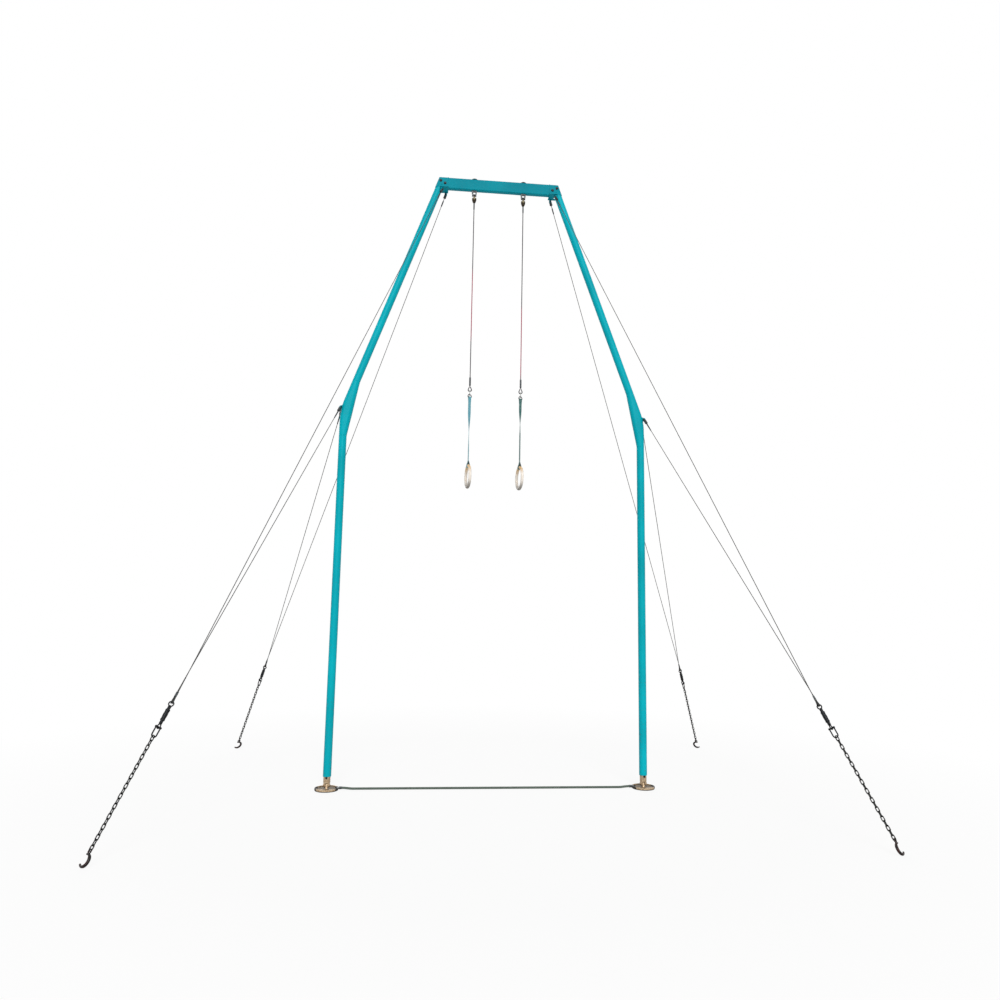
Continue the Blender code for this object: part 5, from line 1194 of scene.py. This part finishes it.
for side, x in SIDES:
    casting, band = bell_parts(x)
    for name, parts, material in (("swivel_casting", casting, DARK_BRONZE), ("brass_band", band, BRASS)):
        piece(f"{name}_{side}", parts, material, f"bell_{side}", [f"swivel_bell_{side}"])
print("pieces so far:", len(PIECES))

# %% [markdown]
# ## Ring cables
# Below each bell a steel stem runs into the pressed end of a 9 mm wire rope, 2 m long. At the bottom the
# rope runs round a thimble and back into a ferrule. A long link joins that loop to the strap's eye.

# %% Ring cables and links
LOOP_Z, PIVOT_Z = 3.7345, 3.694
CABLE_RADIUS, STEM_BELOW = 0.0045, 0.068
CABLE_BORE, CABLE_ROD, CABLE_HEIGHT, CABLE_FERRULE = 0.022, 0.010, 0.045, 0.090
LINK_BEND, LINK_LENGTH, LINK_RADIUS = 0.015, 0.050, 0.004


def cable_parts(x):
    """Stem, ferrule and thimble in steel, the rope round the thimble, and the rope's path."""
    origin = np.array([x, 0, 0])
    radius = (CABLE_BORE + CABLE_ROD) / 2
    middle = np.array([x, 0, LOOP_Z + radius])
    apex = middle[2] + CABLE_HEIGHT - CABLE_ROD / 2
    low = BELL_TOP - BELL_HIGH - STEM_BELOW
    stem = [(BELL_TOP - 0.011, CORE), (BELL_TOP - 0.011, 0.011), (BELL_TOP - 0.024, 0.011),
            (BELL_TOP - 0.024, 0.007), (low + 0.020, 0.007), (low + 0.0185, 0.0062), (low + 0.017, 0.007),
            (low + 0.002, 0.007), (low - 0.007, 0.0047)]
    ferrule = np.array([(CABLE_FERRULE, 0.0047), (CABLE_FERRULE - 0.009, 0.009), (0.066, 0.009),
                        (0.0645, 0.0083), (0.063, 0.009), (0.030, 0.009), (0.0285, 0.0083),
                        (0.027, 0.009), (0.0045, 0.009), (0, 0.0054)]) + (apex, 0)
    outer, inner = teardrop(radius, CABLE_HEIGHT, 36), teardrop(radius - 0.0044, CABLE_HEIGHT - 0.014, 36)
    half = 0.0056
    channel = np.array([(0.0004, -half), (0.0012, -half), (0.0003, -half * 0.5), (0.0003, half * 0.5),
                        (0.0012, half), (0.0004, half), (-0.0006, half * 0.5), (-0.0006, -half * 0.5)])
    metal = [turned(eased(stem, 0.0006), origin, Z, 32), turned(eased(ferrule, 0.0006), origin, Z, 32),
             sweep(lifted(inner, middle, X, Z), channel, Y, closed=True)]
    rope = rod(lifted(outer, middle, X, Z), CABLE_ROD / 2 - 0.0003, Y, closed=True, sides=16)
    z = np.linspace(low - 0.005, apex + CABLE_FERRULE - 0.003, 40)
    return metal, rope, np.stack([np.full_like(z, x), np.zeros_like(z), z], -1)


for side, x in SIDES:
    metal, loop, path = cable_parts(x)
    wire, run = RING_WIRE[side], rod(path, CABLE_RADIUS, Y, sides=16)
    rope, *ends = (
        piece(f"ring_rope{kind}_{side}", parts, material, f"cable_{side}", [f"ring_cable_{side}"])
        for kind, parts, material in (("", [run], wire), ("_bend", [loop], wire),
                                      ("_fittings", metal, SWAGED)))
    long = float(path[0][2] - path[-1][2])
    tuple(path[0])
    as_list(ends)
    centre = np.array([x, 0, PIVOT_Z + LINK_LENGTH / 2])
    bar = lifted(stadium(LINK_BEND, LINK_LENGTH, 20), centre, Y, Z)
    closed = [rod(bar, LINK_RADIUS, X, closed=True, sides=20),
              turned([(-0.003, 0.0038), (-0.0015, 0.0044), (0.0015, 0.0044), (0.003, 0.0038)],
                     centre + Y * LINK_BEND, Z, 20)]
    piece(f"long_link_{side}", closed, ZINC, f"link_{side}", [f"cable_link_{side}"])
print("ring rope", round(long, 3), "m")

# %% [markdown]
# ## Strap eyes, straps and rings
# The eye has a straight bar for the strap and an arched top for the link. The strap is one closed sling
# of webbing: it goes down from the bar, round the ring and up again, and its two plies are sewn together
# near both ends. The ring hangs almost edge on to the eye, so the sling is twisted. The path is worked
# out flat, as (distance off the middle, height), and then turned about the strap's line by an angle that
# depends on the height. In the photograph the upper part is seen flat and the lower part edge on, so most
# of the twist lies in the upper half. The width direction turns with it. A dark wedge with a leather
# texture fills the loop above the wood: painted shade, for the inside of the loop.

# %% Strap eyes
EYE_TURN, RING_TURN = math.radians(40), math.radians(8)
STRAP_HALF, PLY = 0.0175, 0.0019
RING_RADIUS, WOOD_RADIUS = 0.104, 0.014
RING_TOP, STRAP_DROP = 2.994, 0.684
BAR_Z, BAR_RADIUS = RING_TOP + STRAP_DROP, 0.004


def level_way(turn):
    """Level directions at angles from the x axis."""
    return np.stack([np.cos(turn), np.sin(turn), np.zeros_like(turn)], -1)


def strap_eye(x):
    """Closed rod: a bar, and an arch that is as wide as the strap and a little more."""
    half, high = 0.0225, 0.026
    top = arc(1, 0, 180, 40) * (half, high * 3 / 4) + (0, BAR_Z + high / 4)
    bar = np.stack([np.linspace(-half + 0.002, half - 0.002, 9), np.full(9, BAR_Z)], -1)
    corner_left = np.array([(-half, BAR_Z + 0.0025), (-half + 0.0006, BAR_Z + 0.0007)])
    flat = np.concatenate([bar, corner_left[::-1] * (-1, 1), top, corner_left])
    side = level_way(EYE_TURN)
    return [rod(lifted(flat, (x, 0, 0), side, Z), BAR_RADIUS, np.cross(side, Z), closed=True, sides=20)]


# %% Slings
LOOP_HEIGHT = 0.055
PLY_OFF = PLY * 0.55
SAG = STRAP_HALF ** 2 / (2 * (RING_RADIUS - WOOD_RADIUS))
TOP_LOOP = BAR_RADIUS + 0.0005 + PLY / 2
LOW_LOOP = WOOD_RADIUS + SAG / 2 + 0.001 + PLY / 2
WOOD_Z = BAR_Z - STRAP_DROP - SAG / 2


def sling_path():
    """Flat path of the sling's middle as (offset, height): down, round the ring, up, and round the bar."""
    def lobe(radius, steps):
        rise = math.degrees(math.asin((radius - PLY_OFF) / LOOP_HEIGHT))
        return arc(radius, rise, -180 - rise, steps)
    z = np.linspace(BAR_Z - LOOP_HEIGHT, WOOD_Z + LOOP_HEIGHT, 70)
    down = np.stack([np.full(70, PLY_OFF), z], -1)
    return np.concatenate([down, lobe(LOW_LOOP, 40) + (0, WOOD_Z), down[::-1] * (-1, 1),
                           lobe(TOP_LOOP, 30) * (-1, -1) + (0, BAR_Z)])


def ply_section():
    """Section of the webbing, a flat strip with round edges, as (across thickness, across width)."""
    edge = arc(PLY / 2, 90, -90, 6)[:, ::-1] + (0, STRAP_HALF - PLY / 2)
    top = np.stack([np.full(9, PLY / 2), np.linspace(-STRAP_HALF + PLY, STRAP_HALF - PLY, 9)], -1)
    half = np.concatenate([top, edge])
    return np.concatenate([half, -half])


def gentle(t, start, end):
    """Cubic ease from 0 to 1 between two places: s * s * (3 - 2 s)."""
    s = np.clip((t - start) / (end - start), 0, 1)
    return s * s * (3 - 2 * s)


def strap_turn(z, twist):
    """Angle of the plane that holds the sling's path: a sixth of the turn low down, the rest above it.

    The twist says where each of the two parts starts and ends, as shares of the way up.
    """
    t = np.clip((z - (WOOD_Z + LOOP_HEIGHT)) / (BAR_Z - WOOD_Z - 2 * LOOP_HEIGHT), 0, 1)
    low, high = RING_TURN + math.pi, EYE_TURN + math.pi / 2
    return low + (high - low) * (0.17 * gentle(t, *twist[:2]) + 0.83 * gentle(t, *twist[2:]))


def sling(x, twist):
    """Sling of webbing as one closed sweep, with the distance across it kept in the grain attribute."""
    flat = sling_path()
    across = level_way(strap_turn(flat[:, 1], twist))
    path = flat[:, :1] * across + flat[:, 1:] * Z + (x, 0, 0)
    section = ply_section()
    extra = np.zeros((len(path), len(section), 3))
    extra[..., 0] = section[:, 1]
    return sweep(path, section, np.cross(Z, across), closed=True, extra=extra)


def stitches(x, twist):
    """Two rows of stitches across the strap beside each loop, and two along it, as small capsules."""
    rows = []
    for middle, sign in ((WOOD_Z, 1), (BAR_Z, -1)):
        for off in (0.0595, 0.0645, 0.0845, 0.0895):
            rows += [(u, middle + sign * off, 1, 0) for u in np.linspace(-0.0135, 0.0135, 9)]
        for u in (-0.0145, 0.0145):
            rows += [(u, middle + sign * off, 0, 1) for off in np.linspace(0.0605, 0.0885, 8)]
    u, z, wide, tall = np.array(rows).T[..., None]
    across = level_way(strap_turn(z[:, 0], twist))
    width = np.cross(Z, across)
    way = width * wide + Z * tall
    profile = np.array([(-0.0013, 0.0001), (-0.0009, 0.0005), (0.0009, 0.0005), (0.0013, 0.0001)])
    ring = circle(6) * (1, 0.8)
    spokes = ring[:, :1] * np.cross(way, across)[:, None] + ring[:, 1:] * across[:, None]
    capsules = (profile[:, :1, None] * way[:, None, None] + profile[:, 1:, None] * spokes[:, None])
    places = width * u + Z * z + (x, 0, 0)
    return [shell(place + capsule) for face in (-1, 1)
            for place, capsule in zip(places + across * face * PLY * 1.05, capsules)]


def loop_shade_wedge(x):
    """Dark prism between the plies, painted shade for the inside of the loop: hollow over the wood, drawn
    up to the stitches.
    """
    hollow = arc(WOOD_RADIUS + SAG, 142, 38, 16)
    outline = np.concatenate([hollow, [(0.0008, LOOP_HEIGHT - 0.005), (-0.0008, LOOP_HEIGHT - 0.005)]])
    return [plate(outline, 2 * STRAP_HALF - 0.004, np.array([x, 0, WOOD_Z]), level_way(RING_TURN), Z)]


# %% Rings
def ring_parts(x):
    """Torus: path on a circle of 104 mm, section of 14 mm. Grain holds radial and axial distance."""
    side = level_way(RING_TURN + math.pi / 2)
    path = lifted(arc(RING_RADIUS, 90, 450, 144)[:-1], (x, 0, RING_TOP - RING_RADIUS), side, Z)
    section = circle(40) * WOOD_RADIUS
    extra = np.zeros((len(path), len(section), 3))
    extra[..., :2] = section
    return [sweep(path, section, np.cross(side, Z), closed=True, extra=extra)]


TWIST = {"left": (0.18, 0.42, 0.45, 0.85), "right": (0.44, 0.60, 0.58, 0.94)}
for side, x in SIDES:
    for name, parts, material, body, node in (
            ("bent_strap_eye", strap_eye(x), BLACKENED, "strap", "strap_eye"),
            ("woven_sling", [sling(x, TWIST[side])], WEBBING[side], "strap", "ring_strap"),
            ("sling_stitches", stitches(x, TWIST[side]), THREAD, "strap", "ring_strap"),
            # The dark wedge is painted shade for the inside of the loop.
            ("leather_wedge", loop_shade_wedge(x), SHADE_WEDGE, "strap", "ring_strap"),
            ("turned_ring", ring_parts(x), WOOD, "ring", "wooden_ring")):
        piece(f"{name}_{side}", parts, material, f"{body}_{side}", [f"{node}_{side}"])
print("pieces:", len(PIECES))

# %% [markdown]
# ## Floor, light and background
# The object stands on a plain pale floor in soft studio light. The photograph's background is white, so
# the world is white where the camera looks at it, and where it shows in metal. To the camera most of the
# floor's brightness is plain white too, and the rest is the light that falls on it, so it keeps a soft
# shadow. Further out it fades to white. The main light comes from the front, a little above the camera's
# direction, so the tubes are brightest along the middle and darker at both sides, as in the photograph.
# A weak, wide light behind the frame keeps its rear from going dull when it is looked at from there.

# %% Stage
SKY = 0.34


def make_world():
    """Even light from all round at a plain level, seen as white by the camera and in reflections."""
    world = bpy.data.worlds.new("studio")
    world.use_nodes = True
    add = partial(add_node, world.node_tree)
    seen, glossy, through = (add("LightPath", output=f"Is {kind} Ray")
                             for kind in ("Camera", "Glossy", "Transmission"))
    plain = add("Math", [seen, add("Math", [glossy, through], operation="MAXIMUM")], operation="MAXIMUM")
    back = world.node_tree.nodes["Background"]
    back.inputs["Color"].default_value = (1, 1, 1, 1)
    world.node_tree.links.new(add("MapRange", [plain, 0.0, 1.0, SKY, 1.0]), back.inputs["Strength"])
    bpy.context.scene.world = world


def make_floor():
    """Disc of matt pale floor. To the camera it is mostly plain white near by, and wholly so far off."""
    material, add, place = new_material("pale studio floor", 0.9)
    cloud = add("TexNoise", {"Vector": place, "Scale": 1 / 0.6, "Detail": 3.0})
    dress(material, ["EFEFEE", (cloud, "F3F3F2")], [])
    reach = add("VectorMath", [place], "Value", operation="LENGTH")
    share = add("Math", [add("LightPath", output="Is Camera Ray"),
                         add("MapRange", [reach, 2.8, 6.0, 0.87, 1.0])], operation="MULTIPLY")
    tree = material.node_tree
    white = add("Emission", {"Color": (1, 1, 1, 1), "Strength": 1.0})
    mixed = add("MixShader", [share, tree.nodes["Principled BSDF"].outputs[0], white])
    tree.links.new(mixed, tree.nodes["Material Output"].inputs["Surface"])
    radii = np.array([0.01, 3.0, 6.5, 60.0])
    grid = np.concatenate([radii[:, None, None] * circle(96), np.zeros((4, 96, 1))], -1)
    parts = shell(grid)
    mesh = bpy.data.meshes.new("floor")
    mesh.from_pydata(parts["points"].tolist(), [], [*parts["faces"][0].tolist(), list(range(96))])
    mesh.materials.append(material)
    floor = bpy.data.objects.new("floor", mesh)
    bpy.context.scene.collection.objects.link(floor)


def soft_sun(name, towards, level, width):
    """Light of one direction whose source looks this many degrees wide. A level of 1 lights white to 1."""
    lamp = bpy.data.lights.new(name, "SUN")
    lamp.energy = level * math.pi
    lamp.angle = math.radians(width)
    made = bpy.data.objects.new(name, lamp)
    back = unit(towards)
    first = unit(np.cross(Z, back))
    axes = zip(first, np.cross(back, first), back, 8 * back)
    made.matrix_world = Matrix([*axes, (0, 0, 0, 1)])
    bpy.context.scene.collection.objects.link(made)


make_world()
make_floor()
soft_sun("key", (0.02, -0.90, 0.50), 0.72, 28)
soft_sun("fill", (-0.20, 0.90, 0.40), 0.28, 60)
print("stage ready")
